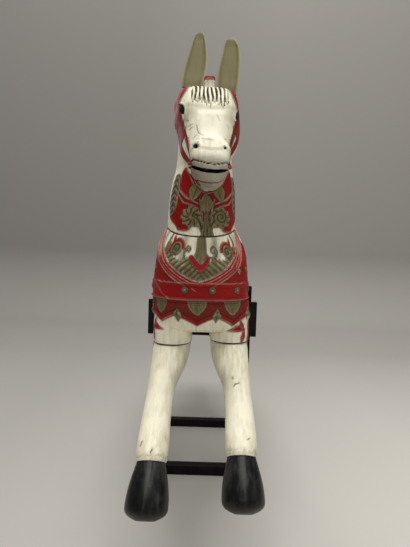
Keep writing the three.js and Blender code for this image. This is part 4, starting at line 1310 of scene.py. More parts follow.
# %% The head's own measures
FOREHEAD, LIP, YAW = np.array([58.0, 1452.0]), np.array([-105.0, 1178.0]), math.radians(4.6)
FACE = (LIP - FOREHEAD) / np.hypot(*(LIP - FOREHEAD))
PIVOT_X, PIVOT_Y = 6.0, 60.0
FACE_START, FACE_END = -9.0, 361.0
face_bulge = curve([(-30, 2), (60, 6), (110, 7), (165, 1), (215, -3), (250, 3), (300, 3),
                    (366, 0)])
head_depth = curve([(-30, 150), (60, 182), (110, 196), (160, 188), (205, 158), (240, 124),
                    (300, 104), (366, 98)])
face_half = curve([(-30, 80), (30, 84), (98, 84), (125, 77), (160, 70), (205, 62), (236, 54),
                   (264, 57), (300, 54), (366, 46)])
jaw_half = curve([(-30, 92), (20, 99), (60, 101), (110, 99), (165, 92), (195, 80), (225, 63),
                  (255, 54), (300, 50), (366, 44)])


def from_head(x, t, e):
    """Bench point of the head: x across, t down the face line and e inwards, turned by YAW."""
    y = FOREHEAD[0] + t * FACE[0] - e * FACE[1]
    z = FOREHEAD[1] + t * FACE[1] + e * FACE[0]
    y = y - PIVOT_Y
    return np.stack([x * math.cos(YAW) - y * math.sin(YAW) + PIVOT_X,
                     x * math.sin(YAW) + y * math.cos(YAW) + PIVOT_Y, z], -1)


def to_head(place):
    """The head's own x, t and e of bench points: from_head undone."""
    x, y = place[:, 0] - PIVOT_X, place[:, 1] - PIVOT_Y
    across = x * math.cos(YAW) + y * math.sin(YAW)
    along = -x * math.sin(YAW) + y * math.cos(YAW) + PIVOT_Y - FOREHEAD[0]
    up = place[:, 2] - FOREHEAD[1]
    return across, along * FACE[0] + up * FACE[1], -along * FACE[1] + up * FACE[0]


# %% [markdown]
# The skull is a row of sections along the face, square at the face and round at the jaw. The
# two halves are not alike: the jaw on the horse's right is narrower and sits lower.

# %% Skull surface
FACE_SQUARENESS, JAW_SQUARENESS, JAW_DROP = 4.2, 2.4, 32


def skull_section(t):
    """Half depth and middle of the skull at a distance down the face, and its width's draw-in."""
    crown, muzzle = end_round(t - FACE_START, 66, 2.0), end_round(FACE_END - t, 66, 2.4)
    middle = head_depth(t) / 2 - face_bulge(t) + (1 - muzzle) * 4
    return head_depth(t) / 2 * crown * muzzle, middle, end_round(t - FACE_START, 20, 3) * muzzle


def jaw_place(t, x):
    """Where along the jaw's curves a point is: on the horse's right they run JAW_DROP lower."""
    return t - JAW_DROP * step(t, 140, 215) * (x < 0)


def skull_width(t, inward, x):
    """Half width of the skull: the face's at the face, the jaw's from just past the middle."""
    lower = jaw_place(t, x)
    narrower = 5 * step(t, 20, 60) + 9 * step(t, 70, 130) * step(250 - lower, 0, 30)
    jaw = jaw_half(lower) - narrower * (x < 0)
    return face_half(t) + (jaw - face_half(t)) * step(inward, -1, 0.2)


def skull_rings():
    """Superellipse sections at each t, close together where crown and muzzle round off."""
    n = 2.4
    tip = FACE_END - 66 * (1 - (1 - np.linspace(0.87, 0.05, 34)**n)**(1 / n))
    top = FACE_START + 66 * (1 - np.cos(np.linspace(0.08, 1.2, 26)))
    t = np.concatenate([top, np.linspace(top[-1] + 2, 332.5, 142), tip])[:, None]
    angle = turn_around(236)[None, :]
    deep, middle, inset = skull_section(t)
    across, inward = superellipse(
        angle, np.where(np.sin(angle) < 0, FACE_SQUARENESS, JAW_SQUARENESS))
    x = skull_width(t, inward, across) * inset * across
    return from_head(x, t + 0 * x, middle + deep * inward)


def on_skull(x, t, e):
    """1 on the skull's surface and more outside it: the superellipse's own radius."""
    deep, middle, inset = skull_section(t)
    inward = (e - middle) / np.maximum(deep, 1)
    width = np.maximum(skull_width(t, np.clip(inward, -1, 1), x) * inset, 1)
    n = np.where(inward < 0, FACE_SQUARENESS, JAW_SQUARENESS)
    return (np.abs(x / width)**n + np.abs(inward)**n)**(1 / n)


print("skull from crown to lip:", FACE_END - FACE_START, "mm")

# %% [markdown]
# The mane is a crest of locks along the back of the neck. One tube carries it, and its radius
# is fluted on a slant, so that the grooves fall back and down as combed hair does. A short tuft
# stands between the ears, and the bit ends in a round knob at each corner of the mouth.

# %% Mane, tuft and bit knobs
TUFT_X, TUFT_Y, KNOB_X, KNOB_T, KNOB_E, KNOB_RADIUS = 9, 82, 51, 306, 31, 9


def mane_rings():
    """Tube up the back of the neck: half widths 22 x 34, fluted by a slanting cosine."""
    share = np.linspace(0, 1, 170)[:, None]
    z = 1082 + 340 * share
    angle = turn_around(48)[None, :]
    taper = np.sin(np.pi * np.clip(share, 0.015, 0.985))**0.35
    flute = 1 + 0.13 * np.cos(2 * np.pi * 15 * share + 3.2 * np.sin(angle)) * taper
    locks = 1 + 0.16 * np.abs(np.sin(np.pi * 5 * share))
    back = neck_back(z)
    return np.stack([21 * taper * flute * np.cos(angle),
                     back - 8 + 33 * taper * flute * locks * np.sin(angle),
                     z - 12 * np.sin(angle) * taper + 0 * back], -1)


def tuft_rings():
    """Standing tuft between the ears: a flat-topped block, fluted upwards."""
    share = np.linspace(0.0, 1.0, 44)[:, None]
    angle = turn_around(60)[None, :]
    size = (1 - np.clip((share - 0.84) / 0.17, 0, 1)**3)**0.5 * (0.9 + 0.1 * step(share, 0.55, 0.7))
    flute = 1 + 0.07 * np.cos(8 * angle) * (1 - step(share, 0.55, 0.7))
    across, along = superellipse(angle, 3.0)
    return np.stack([TUFT_X + 17 * size * flute * across, TUFT_Y + 14 * size * flute * along,
                     1412 + 61 * share + 0 * angle], -1)


def knob_rings(side):
    """The bit's round knob: rings whose radius is a sine from pole to pole, as on a ball."""
    share = np.linspace(0.02, 0.98, 18)[:, None]
    angle = turn_around(28)[None, :]
    radius = KNOB_RADIUS * np.sin(np.pi * share)
    return from_head(side * KNOB_X + KNOB_RADIUS * np.cos(np.pi * share) + 0 * angle,
                     KNOB_T + radius * np.cos(angle), KNOB_E + radius * np.sin(angle))


# %% [markdown]
# The mouth is a wedge cut right across under the lips. Its own drawing plane is the side view:
# one number runs along the slot and the other, the lift, up from its middle. The nostrils are
# short tapered plugs that are cut out of the muzzle.

# %% Mouth and nostrils
MOUTH_T, MOUTH_E, MOUTH_RISE = 341.0, 6.0, math.radians(14)
mouth_middle = curve([(-58, 5), (-45, 3), (-25, -1.5), (0, -4.5), (25, -4.5), (45, -2), (58, 0)])
mouth_half = curve([(-58, 4.6), (-46, 5.0), (-30, 5.2), (0, 5.8), (30, 5.2), (46, 3.4), (58, 2.0)])


def slot_edges(x, run):
    """Lower and upper edge of the open mouth, across the lips and in from them."""
    half = mouth_half(x) * (1 - 0.5 * np.clip(run / 62, 0, 1))
    return mouth_middle(x) - half, mouth_middle(x) + half


def mouth_slot():
    """Wedge from before the lips to the corner of the mouth, drawn across the lips."""
    start = from_head(0.0, MOUTH_T, MOUTH_E)
    x = np.linspace(-72, 72, 33)[:, None]
    run = np.array([[-30.0, 20, 62, 62, 20, -30]])
    low, high = slot_edges(x, run)
    lift = np.where(np.arange(6)[None, :] < 3, low, high)
    y = start[1] + run * math.cos(MOUTH_RISE) - lift * math.sin(MOUTH_RISE)
    z = start[2] + run * math.sin(MOUTH_RISE) + lift * math.cos(MOUTH_RISE)
    return closed_skin("mouth_slot", np.stack([start[0] + x + 0 * run, y, z], -1))


def nostril_rings(side, t, wide):
    """Plug along e that narrows inwards: a leaning oval at the surface."""
    share = np.linspace(0, 1, 8)[:, None]
    angle = turn_around(24)[None, :]
    size = 1.15 - 0.75 * share**1.5
    x = side * (38 - 2 * share) + size * wide * (side * 0.3 * np.sin(angle) + np.cos(angle))
    return from_head(x, t + 1.2 * wide * size * np.sin(angle), -12 + 22 * share + 0 * x)


print("mouth opens", round(2 * float(mouth_half(0.0)), 1), "mm at its middle")

# %% [markdown]
# Neck, skull, mane, tuft and knobs are joined, then the block is cut off a hair above the joint
# and the mouth and nostrils are cut in.

# %% Head and neck block
seam_gap_up = GAP * math.hypot(1, SEAM_SLOPE)
below_seam = sloped_block("below_seam", 300, (-160.0, 560.0), (700, 700),
                          [seam_height(y) + seam_gap_up for y in (-160.0, 560.0)])
added = [closed_skin("skull", skull_rings()), closed_skin("mane", mane_rings()),
         closed_skin("tuft", tuft_rings())]
added += [closed_skin("knob", knob_rings(side)) for side in (-1, 1)]
removed = [below_seam, mouth_slot()]
removed += [closed_skin("nostril", nostril_rings(-1, 270, 7.5)),
            closed_skin("nostril", nostril_rings(1, 273, 4.5))]
head_mesh = made_one(closed_skin("neck", neck_rings()), added, removed)
place = points_of(head_mesh)[0]
print("head and neck block:", len(place), "points")

# %% [markdown]
# The front of the neck carries the richest carving: a pointed leaf on a ribbed stem between two
# volutes, on a red field with raised ribs, and a band of gold leaves up each side.


# %% Neck carving
def neck_tape(place):
    """Direction round the neck's section from the middle of its front, times 110 mm."""
    z = place[:, 2]
    middle, deep = neck_plan(z)
    across = (place[:, 0] - neck_side(z)) / neck_half(z)
    return 110 * np.arctan2(across, (middle - place[:, 1]) / deep)


NECK_MIDDLE = 16  # the pattern is drawn about a line this far to the horse's left


def neck_field(pattern, u, v):
    """Red field, bands of leaves and ribs. Both halves are alike: they read the distance from
    the pattern's middle line."""
    u = u - NECK_MIDDLE
    both = np.abs(u)
    field = patch(both, v, flowing([(0, 1040), (34, 1026), (46, 1013), (54, 1001), (84, 1003),
                                    (97, 1018), (128, 1046), (103, 1064), (94, 1100),
                                    (92, 1148), (94, 1176), (82, 1194), (58, 1172), (0, 1160)], 5))
    middle = patch(u, v, [(-40, 1036), (40, 1036), (40, 1165), (-40, 1165)])
    field = np.maximum(field, middle)
    motif(pattern, field, "red", 2.0, wash=0.8, light=0.3)
    band = patch(both, v, flowing([(104, 1060), (96, 1098), (94, 1146), (99, 1172), (124, 1172),
                                   (134, 1120), (132, 1064), (120, 1048)], 5))
    motif(pattern, band, "gold", 2.2, wash=1.0, light=0.4)
    leaves = v + 0.9 * np.abs(both - 112)
    carved_line(pattern, repeated(leaves, 19.0), 2.2, 2.2, 1.0, within=band - 1)
    carved_line(pattern, both - 112, 1.2, 1.6, 0.8, within=band - 2)
    lit_edge(pattern, repeated(leaves + 6, 19.0), 2.0, 0.65, within=band - 4)
    for path in ([(96, 1158, 2.5), (88, 1124, 3.6), (62, 1100, 4.0), (20, 1080, 2.6)],
                 [(90, 1110, 2.0), (70, 1086, 3.0), (40, 1076, 2.6), (16, 1060, 2.0)],
                 [(60, 1168, 2.5), (44, 1142, 3.4), (24, 1120, 3.2), (0, 1114, 2.2)],
                 [(22, 1096, 2.4), (17, 1072, 3.0), (12, 1050, 2.8), (13, 1012, 2.0)]):
        rib = stroke(both, v, path)
        motif(pattern, rib, "red", 3.4, 2.6, wash=0.95, light=0.0)
        lit_edge(pattern, rib - 2.6, 1.8, 0.5)
    lobe = patch(both, v, flowing([(14, 1124), (38, 1094), (52, 1102), (54, 1128), (38, 1140),
                                   (18, 1142)], 5))
    motif(pattern, lobe, "gold", 2.4, wash=0.9, light=0.25)
    carved_line(pattern, both - 38 + 0.3 * (v - 1110), 1.2, 1.6, 0.8, within=lobe - 3)


# %% [markdown]
# Over the field go the two volutes and the leaf. The volute on the horse's right is a fan of
# leaf lobes and the one on its left is a wound scroll.

# %% Volutes and leaf of the neck
VOLUTE_U, VOLUTE_V = 43, 1042


def neck_volutes(pattern, u, v):
    """A volute is a disc with a wavy rim, 31 + 3 cos(9 angle), cut by lines or by a scroll."""
    u = u - NECK_MIDDLE
    both = np.abs(u)
    turned = np.arctan2(v - VOLUTE_V, both - VOLUTE_U)
    radius = np.hypot(both - VOLUTE_U, v - VOLUTE_V)
    fan = 31 + 3.0 * np.cos(9 * turned)
    arm = stroke(both, v, [(9, 1000, 6), (16, 1020, 8), (28, 1034, 8)])
    head = np.maximum(fan - radius, arm)
    motif(pattern, head, "gold", 3.4, 4.0, wash=1.0, light=0.3)
    lobes = radius * repeated(turned + 0.35 - 0.02 * radius, 2 * np.pi / 9)
    lobes = np.where((radius > 9) & ((u < 0) | (radius > 22)), lobes, FAR)
    carved_line(pattern, lobes, 2.4, 2.0, 1.0, within=head - 1)
    curl = scroll((36, 1044), 11, 0.9, math.radians(215), -1, 0.1)
    carved_line(pattern, np.where(u < 0, -stroke(both, v, curl), FAR), 2.2, 1.8, 1.0)
    winding = scroll((43, 1044), 23, 2.0, math.radians(215), -1, 0.1)
    carved_line(pattern, np.where(u > 0, -stroke(both, v, winding), FAR), 2.4, 1.9, 1.0)
    lit_edge(pattern, np.where((radius > 18) & (both > 50), lobes - 4.5, FAR), 1.6, 0.45,
             within=head - 3)
    leaf = patch(u, v, flowing([(-4, 1113), (17, 1088), (17, 1080), (6, 1052), (9, 1026),
                                (22, 990), (22, 960), (-14, 960), (-14, 990), (-8, 1026),
                                (-6, 1052), (-21, 1080), (-20, 1088)], 5))
    motif(pattern, leaf, "gold", 3.2, 4.0, wash=1.0, light=0.2)
    for offset in (-0.5, 0.1, 0.7):
        width = 7 + 11 * step(1045 - v, 0, 60)
        carved_line(pattern, u - 2 * step(1045 - v, 0, 60) - offset * width, 1.6, 1.5, 0.85,
                    within=1060 - v)
    carved_line(pattern, u + 1, 1.0, 1.3, 0.5, within=overlap(leaf - 3, v - 1052))


# %% [markdown]
# The bridle's cheek piece is a wide red band at each side, with a pale panel in its lower half.
# Round the side of the head the tape q is the distance out from the middle of the face plus the
# distance in along the cheek. The band's front edge is drawn apart for each side.

# %% Bridle
front_right = curve([(0, 52), (25, 55.5), (46, 62), (58, 72), (68, 80), (90, 106), (104, 106),
                     (133, 103), (171, 94), (220, 83), (256, 80), (300, 73), (318, 76)])
front_left = curve([(0, 54), (36, 58), (61, 68.5), (85, 77), (100, 86), (118, 110), (133, 105),
                    (171, 94), (220, 83), (256, 80), (300, 73), (318, 76)])
bridle_back = curve([(10, 184), (75, 194), (110, 190), (143, 184), (180, 173), (210, 158),
                     (240, 132), (300, 96), (318, 90)])


def bridle(pattern, x, t, e):
    """Cheek band between its two edges, over the brow too, and the pale panel in it."""
    turned = np.where(x > 0, step(t, 95, 118), step(t, 66, 90))
    q = np.abs(x) + np.maximum(e, 0) * turned
    front = np.where(x > 0, front_left(t), front_right(t))
    t = jaw_place(t, x)
    back = bridle_back(t)
    band = overlap(q - front, back - q, t + 6, 322 - t)
    motif(pattern, band, "red", 2.6, 3.0, wash=0.85, light=0.6)
    setting = np.where(x > 0, 26, 15)
    panel = overlap(q - front - setting, 142 - 0.42 * (t - 170) - q, t - 168, 262 - t)
    shade = bell(q - front - 20, 9) * step(t, 108, 124) * step(200 - t, 0, 24)
    add_dirt_and_shade(pattern, 0.75 * shade)
    motif(pattern, panel, None, -1.8, wash=1.0, light=0.3)
    strip = overlap(panel - 2, 4 - np.abs(q - front - setting - 6))
    motif(pattern, strip, "gold", 1.0, 2.0, wash=0.9, light=0.3)
    carved_line(pattern, band - 8, 1.4, 1.5, 0.6)


# %% [markdown]
# The forelock is nine carved strands with wide olive hollows between them. A lane across the
# brow counts the strands, and how far a point lies from its lane's middle gives the ridge.

# %% Forelock
STRAND_ENDS = [108, 112, 108, 118, 123, 110, 118, 122, 108]


def forelock(pattern, x, t, e):
    """A strand's ridge is a half circle over its lane, and the lane narrows to a point at the
    strand's end. The hollows take the gold paint, and dirt lies between two strands."""
    spread = 106 + 0.06 * (t - 40)
    lane = (x - 2) / spread * 9 + 4.5
    strand = np.clip(np.floor(lane), 0, 8).astype(int)
    end = np.array(STRAND_ENDS, float)[strand]
    across = np.abs(lane - strand - 0.5 + 0.10 * np.sin(t * 0.07 + strand)) * 2
    room = np.clip((end - t) / 40, 0, 1)**0.7
    ridge = np.clip(1 - (across / np.maximum(0.92 * room, 0.05))**2, 0, 1)**0.5
    inside = overlap(end - t, spread / 2 - np.abs(x - 2), 60 - e)
    here = step(60 - e, 0, 8) * (np.abs(x - 2) < spread / 2) * (inside > 0)
    pattern["height"] += here * (4.5 * ridge * step(t, 0, 30) - 2.2 * step(t, 60, 20))
    hollow = (across - 0.50 - 0.12 * np.sin(strand * 2.4 + t * 0.05)) * 5.5 * here
    hollow = overlap(hollow, (end - 6 - t) * 0.3)
    pattern["red"] = np.where(here > 0, -FAR, pattern["red"])
    pattern["gold"] = np.where(here > 0, hollow, pattern["gold"])
    gaps = bell(1 - across, 0.38) * here * step(end - t, 4, 30)
    pattern["dark"] = np.where(here > 0, 1.15 * gaps, pattern["dark"])
    tips = bell(ridge - 0.25, 0.2) * 0.5 * here * (t > 60)
    add_dirt_and_shade(pattern, tips)
    top = 1.0 * step(66 - t, 0, 45) * here * bell(x - 4, 30) * (across > 0.35)
    add_dirt_and_shade(pattern, top)


# %% [markdown]
# The eyes sit at the sides of the brow, so from in front each is a dark crescent under its lid.


# %% Eyes
def eyes(pattern, x, t, e):
    """A black ball under a heavy lid: 1 minus the radius in an oval that leans back."""
    along = t - np.where(x > 0, 107, 106)
    deep = e - np.where(x > 0, 35, 22) + 0.12 * along
    ball = 1 - np.sqrt((along / 20)**2 + (deep / (11 - 0.009 * along**2))**2)
    here = np.abs(x) > 50
    inside = np.where(here, ball * 13, -FAR)
    lid = np.where(here & (deep < 0), bell(inside + 3.0, 2.6), 0)
    pattern["height"] += 2.6 * lid + 2.0 * step(inside, 0, 9)
    pattern["black"] = np.maximum(pattern["black"], inside + 0.5)
    under = np.where(here & (deep < 4), bell(inside + 2.0, 1.5), 0)
    add_dirt_and_shade(pattern, 0.6 * under)


# %% [markdown]
# The muzzle has the fine drawing: a groove over the upper lip, a raised lower lip with a painted
# highlight along it and painted shade under it, the rims of the nostrils and a few dark scars.

# %% Muzzle
LIP_GROOVE = [(-54, 299, 0.2), (-46, 310, 0.8), (-33, 319, 1.0), (-10, 325, 1.2), (11, 327, 1.2),
              (32, 323, 1.2), (46, 314, 1.0), (56, 304, 0.6)]
LIP_STRIP = [(-44, 317, 0.2), (-33, 325, 1.2), (-10, 332, 1.6), (11, 333, 1.6), (36, 329, 0.8)]
LOWER_LIP = [(-49, 0, 0.6), (-46, -10, 0.8), (-42, -18, 0.8), (-34, -25, 0.8), (-22, -28, 0.8),
             (0, -31, 0.9), (20, -30, 0.8), (35, -25, 0.8), (43, -18, 0.8), (47, -8, 0.6), (49, 0, 0.4)]
SPOTS = [(-33, 311, 3.0), (13, 289, 2.4), (-7, 319, 2.2), (-41, 257, 3.4), (-47, 262, 2.6),
         (-33, 258, 2.6), (-46, 275, 2.4)]


def muzzle(pattern, x, t, e, place):
    """Black inside the mouth and nostrils, the lines of the lips, and small scars."""
    start = from_head(0.0, MOUTH_T, MOUTH_E)
    along_y, along_z = math.cos(MOUTH_RISE), math.sin(MOUTH_RISE)
    y, z = place[:, 1] - start[1], place[:, 2] - start[2]
    run, lift = y * along_y + z * along_z, -y * along_z + z * along_y
    low, high = slot_edges(x, run)
    in_slot = (lift > low - 0.4) & (lift < high + 0.4) & (run < 63)
    pattern["black"] = np.where(in_slot, 3.0, pattern["black"])
    outside = (e < 34) & (lift > 4)
    carved_line(pattern, np.where(outside, -stroke(x, t, LIP_GROOVE), FAR), 2.8, 1.3, 1.2)
    lit_edge(pattern, np.where(outside, -stroke(x, t, LIP_STRIP), FAR), 2.0, 0.5)
    chin = (run < 40) & (lift < high)
    line = np.where(chin, -stroke(x, lift, LOWER_LIP), FAR)
    pattern["height"] += 3.2 * bell(line, 2.4)
    # Painted highlight along the top of the lower lip.
    lit_edge(pattern, line, 2.0, 3.0)
    lip_line = [point[:2] for point in LOWER_LIP[2:-2]]
    below = patch(x, lift, [(-70, -14), *lip_line, (70, -14), (70, -90), (-70, -90)])
    edge = 0.9 * bell(below - 4.5, 2.2)
    shade = np.where(below > 1, 0.42 + edge, 0.26)
    add_dirt_and_shade(pattern, np.where(chin & (line > 2), shade, 0))
    for side, level, size in ((-1, 270, 9.5), (1, 272, 6.0)):
        hole = np.hypot((x - side * 38) / 0.9, t - level)
        pattern["height"] += np.where(e < 22, 1.0 * bell(hole - size - 3, 3), 0)
        inner = np.where((e < 26) & (lift > high + 1), size - 2 - hole, -FAR)
        pattern["black"] = np.maximum(pattern["black"], inner)
        smear = 0.75 * bell(hole - size + 2, 3.5)
        add_dirt_and_shade(pattern, np.where(e < 22, smear, 0))
    for at_x, at_t, size in SPOTS:
        spot = np.hypot(x - at_x, t - at_t)
        add_dirt_and_shade(pattern, np.where(e < 30, 0.85 * bell(spot, size), 0))


# %% [markdown]
# The face's cream paint is old and has cracked in a few places. It is a little grey all over the
# front, and painted shade darkens the sides of the cheeks and the muzzle under the nose.

# %% Scratches and painted shade of the face
SCRATCHES = [
    [(-37, 185, 0.5), (-35, 202, 0.8), (-31, 216, 0.8), (-19, 227, 0.4)],
    [(-62, 176, 0.4), (-49, 177, 0.4)], [(-59, 189, 0.4), (-49, 187, 0.4)],
    [(-48, 226, 0.4), (-38, 219, 0.5)], [(52, 173, 0.4), (57, 180, 0.5)],
    [(41, 230, 0.4), (48, 223, 0.4)], [(-60, 160, 0.3), (-66, 152, 0.4)],
    [(20, 150, 0.2), (28, 171, 0.3)], [(-24, 246, 0.2), (6, 250, 0.3)],
]


def scratches_and_painted_shade(pattern, x, t, e):
    """Old cracks in the face's paint, a soft grey over the front, and painted shade under the
    nose and at the sides of the cheeks, each a product of smooth steps."""
    for path in SCRATCHES:
        scratched(pattern, np.where(e < 40, stroke(x, t, path), -FAR), 0.9, 0.8, 0.6)
    # Painted shade: the sides of the cheeks and the lower muzzle face away from the light.
    side = step(np.abs(x), 50 - 0.06 * (t - 150), 72) * step(t, 118, 150) * step(250 - t, 0, 40)
    lower = step(t, 266, 322) * (e < 70)
    wash = np.maximum(0.13 * (e < 40), np.maximum(0.46 * side * (e < 40), 0.74 * lower))
    add_dirt_and_shade(pattern, wash)


# %% [markdown]
# Under all this the face itself has flat planes, as a gouge leaves them.

# %% Planes of the face
FACE_PANEL = [(-32, 145), (48, 139), (47, 238), (-35, 248)]
MUZZLE_TOP = [(-60, 262), (-41, 252), (-32, 237), (41, 236), (51, 252), (66, 268), (66, 380), (-60, 380)]


def face_planes(pattern, x, t, e):
    """Heights that step between planes: the panel down the nose stands over hollows beside it,
    the brow over the panel, and the muzzle over both, with a fold across it."""
    front = step(30 - e, 0, 14)
    panel = patch(x, t, FACE_PANEL)
    hollow = bell(np.abs(x) - 52 + 0.1 * (t - 150), 15) * step(t, 120, 160)
    hollow = hollow * step(262 - t, 0, 36)
    pattern["height"] -= 3.6 * hollow * front
    pattern["height"] += 1.8 * step(panel, -13, 9) * front
    brow = t - 124 + 0.004 * (x - 2)**2
    pattern["height"] += 2.2 * step(-brow, -9, 9) * step(t, 60, 110) * front
    # Painted shade: a darker band just under the brow's edge.
    add_dirt_and_shade(pattern, 0.18 * bell(brow - 4, 7) * front)
    muzzle_top = patch(x, t, MUZZLE_TOP)
    pattern["height"] += 3.4 * step(muzzle_top, -4, 5) * front
    fold = t - 277 - 3 * np.cos((x - 4) / 16)
    pattern["height"] -= 3.0 * step(fold, -6, 6) * front
    cheek = np.exp(-((t - 120) / 60)**2 - ((e - 108) / 46)**2)
    pattern["height"] += 3.0 * cheek


# %% [markdown]
# Points on the skull take the head's carving and the rest take the neck's. The skull's own
# superellipse tells them apart: its radius is more than 1 for a point outside it.

# %% Carve and paint the head and neck
pattern = bare_wood(len(place))
x, t, e = to_head(place)
left, back, up = place.T
skull_point = (on_skull(x, t, e) < 1.03) & (t > -34) & (t < 366)
crest = (back > neck_back(up) - 12) & (np.abs(left) < 30)
from_tuft = np.hypot((left - TUFT_X) / 21, (back - TUFT_Y) / 18)
crest |= (from_tuft < 1.1) & (up > 1444)
skull_point &= ~crest
on_neck = ~skull_point & ~crest
for action in (neck_field, neck_volutes):
    apply_to(pattern, on_neck, action, neck_tape(place), up)
for action in (face_planes, bridle, forelock, eyes, scratches_and_painted_shade):
    apply_to(pattern, skull_point, action, x, t, e)
apply_to(pattern, (t > 225) & (e < 120) & (back < 40), muzzle, x, t, e, place)
knob = overlap(12 - np.hypot(t - KNOB_T, e - KNOB_E), np.abs(x) - 47)
pattern["red"] = np.where(np.abs(x) < 75, np.maximum(pattern["red"], knob), pattern["red"])
hair = np.abs(np.sin(up * 0.21 + back * 0.13))
on_tuft = back < 105
strength = np.where(on_tuft, 0.2, 0.75)
pattern["dark"][crest] = (strength * bell(hair, 0.35))[crest]
pattern["rim"][crest] = 0.4 * hair[crest]**4
cap = np.where(on_tuft, (up - 1456) * 0.6, -FAR)
pattern["red"][crest] = cap[crest]
pattern["rim"][crest] = np.maximum(pattern["rim"][crest], 0.5 * bell(cap[crest], 1.5))
seam_gap = up - seam_height(back)
carved_line(pattern, np.where(back < 360, seam_gap, FAR), 2.2, 1.6, 1.0)
pattern["height"][seam_gap < 0.4] = np.minimum(pattern["height"][seam_gap < 0.4], 0)
carve_and_paint(head_mesh, pattern)
finished("head_and_neck_carving", head_mesh, horse_finish, "painted_horse", "head_and_neck")

# %% [markdown]
# ## Ears
# Each ear is a leaf of wood set into the crown: flat behind, hollowed in front, with a rim of
# even width round the hollow. A ring of it is drawn as its front face from edge to edge and
# its back face on the way home.

# %% Ear measures
EARS = {
    "ear_right": {
        "base": (-35, 96, 1452), "tip": (-29, 112, 1617),
        "half": curve([(0, 33), (14, 34), (50, 35), (86, 31), (121, 23.5), (140, 19), (157, 13.5),
                       (170, 3)]),
        "shift": curve([(0, -9), (14, -8), (50, -2), (86, 2), (121, 3.4), (170, 4)]),
    },
    "ear_left": {
        "base": (65, 96, 1436), "tip": (77, 112, 1600),
        "half": curve([(0, 32), (31, 35), (67, 33.6), (102, 30), (138, 24), (156, 17), (164, 10),
                       (170, 4)]),
        "shift": curve([(0, -2), (67, -1), (102, 0), (138, -1.5), (156, -5), (170, -4)]),
    },
}
print("ears rise", [ear["tip"][2] - ear["base"][2] for ear in EARS.values()], "mm")

# %% [markdown]
# The grid below gives the rings of one ear together with two numbers for each point: how near it
# is to the rim, and how chipped or dirty it is.


# %% Ear surfaces
def ear_grid(ear):
    """Rings up the ear. The front face sinks as 1 - u^2 inside a rim; the back is a low arch.
    Small bites are out of the edge near the tip, where the wood has chipped."""
    base, tip = np.array(ear["base"], float), np.array(ear["tip"], float)
    up = (tip - base) / np.linalg.norm(tip - base)
    across = np.array([1.0, 0, 0]) - up[0] * up
    across /= np.linalg.norm(across)
    back = np.cross(up, across)
    s = np.concatenate([np.linspace(-12, 140, 70), np.linspace(141, 169.6, 36)])
    width = ear["half"](s)
    thick = np.minimum(15, width * 0.7)
    u = np.concatenate([np.linspace(-1, 1, 45), np.linspace(1, -1, 27)[1:-1]])
    front = np.arange(len(u)) < 45
    hollow = step(1 - np.abs(u + 0.05), 0.12, 0.42) * (1 - 0.5 * u**2)
    sunk = -thick[:, None] / 2 + 8 * (width / 34)[:, None] * hollow * step(
        (165 - s)[:, None], 0, 26)
    arch = thick[:, None] / 2 * (1.2 - u**2 * 1.3)
    depth = np.where(front, sunk, arch)
    bite = 1 - 0.16 * step(s[:, None], 138, 158) * np.clip(np.sin(0.55 * s[:, None] + 4 * u), 0, 1)
    place_across = ear["shift"](s)[:, None] + u * width[:, None] * bite
    grid = (base + s[:, None, None] * up + place_across[..., None] * across
            + depth[..., None] * back)
    rim = np.where(front, bell(1 - np.abs(u) - 0.06, 0.09), 0.1)
    rim = rim * np.where(u > 0, 1.0, 0.55)
    rim = np.broadcast_to(rim, depth.shape)
    worn = step(s[:, None], 146, 166) * (0.4 + 0.6 * np.sin(3 * u + 0.4 * s[:, None])**2)
    foot = 0.5 * step(24 - s[:, None], 0, 24)
    return grid, rim, np.broadcast_to(np.maximum(worn, foot), depth.shape)


for name, ear in EARS.items():
    grid, rim, chips = ear_grid(ear)
    skin = closed_skin(name + "_skin", grid)
    mesh = skin.data
    bpy.data.objects.remove(skin)
    pattern = bare_wood(len(mesh.vertices))
    pattern["rim"][:-2], pattern["dark"][:-2] = 0.8 * rim.ravel(), chips.ravel()
    carve_and_paint(mesh, pattern, sharp=50)
    finished(name + "_carving", mesh, ear_finish, "ear_paint", name)

# %% [markdown]
# ## Tail
# The tail is a bundle of carved hair in one piece. Separate locks would leave gaps, so it is a
# tube along a smooth path, with deep flutes that wind slowly round it as they run down.

# %% Tail
tail_path = np.array([(1080, 972), (1136, 990), (1178, 946), (1198, 862), (1194, 765), (1208, 670),
                      (1236, 594)], float)
tail_half = curve([(0, 22), (0.25, 32), (0.5, 46), (0.75, 42), (0.92, 24), (1, 4)])
tail_deep = curve([(0, 20), (0.25, 27), (0.5, 33), (0.75, 29), (0.92, 16), (1, 3)])


def tail_grid():
    """Tube along the tail's path; its radius is cut by eleven flutes that twist by 70 degrees."""
    knots = np.linspace(0, 1, len(tail_path))
    fine = np.linspace(0, 1, 400)
    line = np.stack([curve(np.stack([knots, tail_path[:, i]], -1))(fine) for i in (0, 1)], -1)
    length = np.concatenate([[0], np.cumsum(np.hypot(*np.diff(line, axis=0).T))])
    share = np.linspace(0, 1, 190)
    centre = np.stack([np.interp(share * length[-1], length, line[:, i]) for i in (0, 1)], -1)
    tangent = np.gradient(centre, axis=0)
    tangent /= np.linalg.norm(tangent, axis=1)[:, None]
    angle = turn_around(132)[None, :]
    twist = np.radians(70) * share[:, None]
    wave = np.cos(11 * (angle + twist) + 0.8 * np.sin(9 * share[:, None]))
    flute = 1 - 0.16 * (0.5 - 0.5 * wave)**0.6
    half, deep = tail_half(share)[:, None] * flute, tail_deep(share)[:, None] * flute
    y = centre[:, :1] - tangent[:, 1:] * deep * np.sin(angle)
    z = centre[:, 1:] + tangent[:, :1] * deep * np.sin(angle)
    return np.stack([half * np.cos(angle), y, z], -1), wave


print("tail ends", tail_path[-1, 1], "mm over the floor")

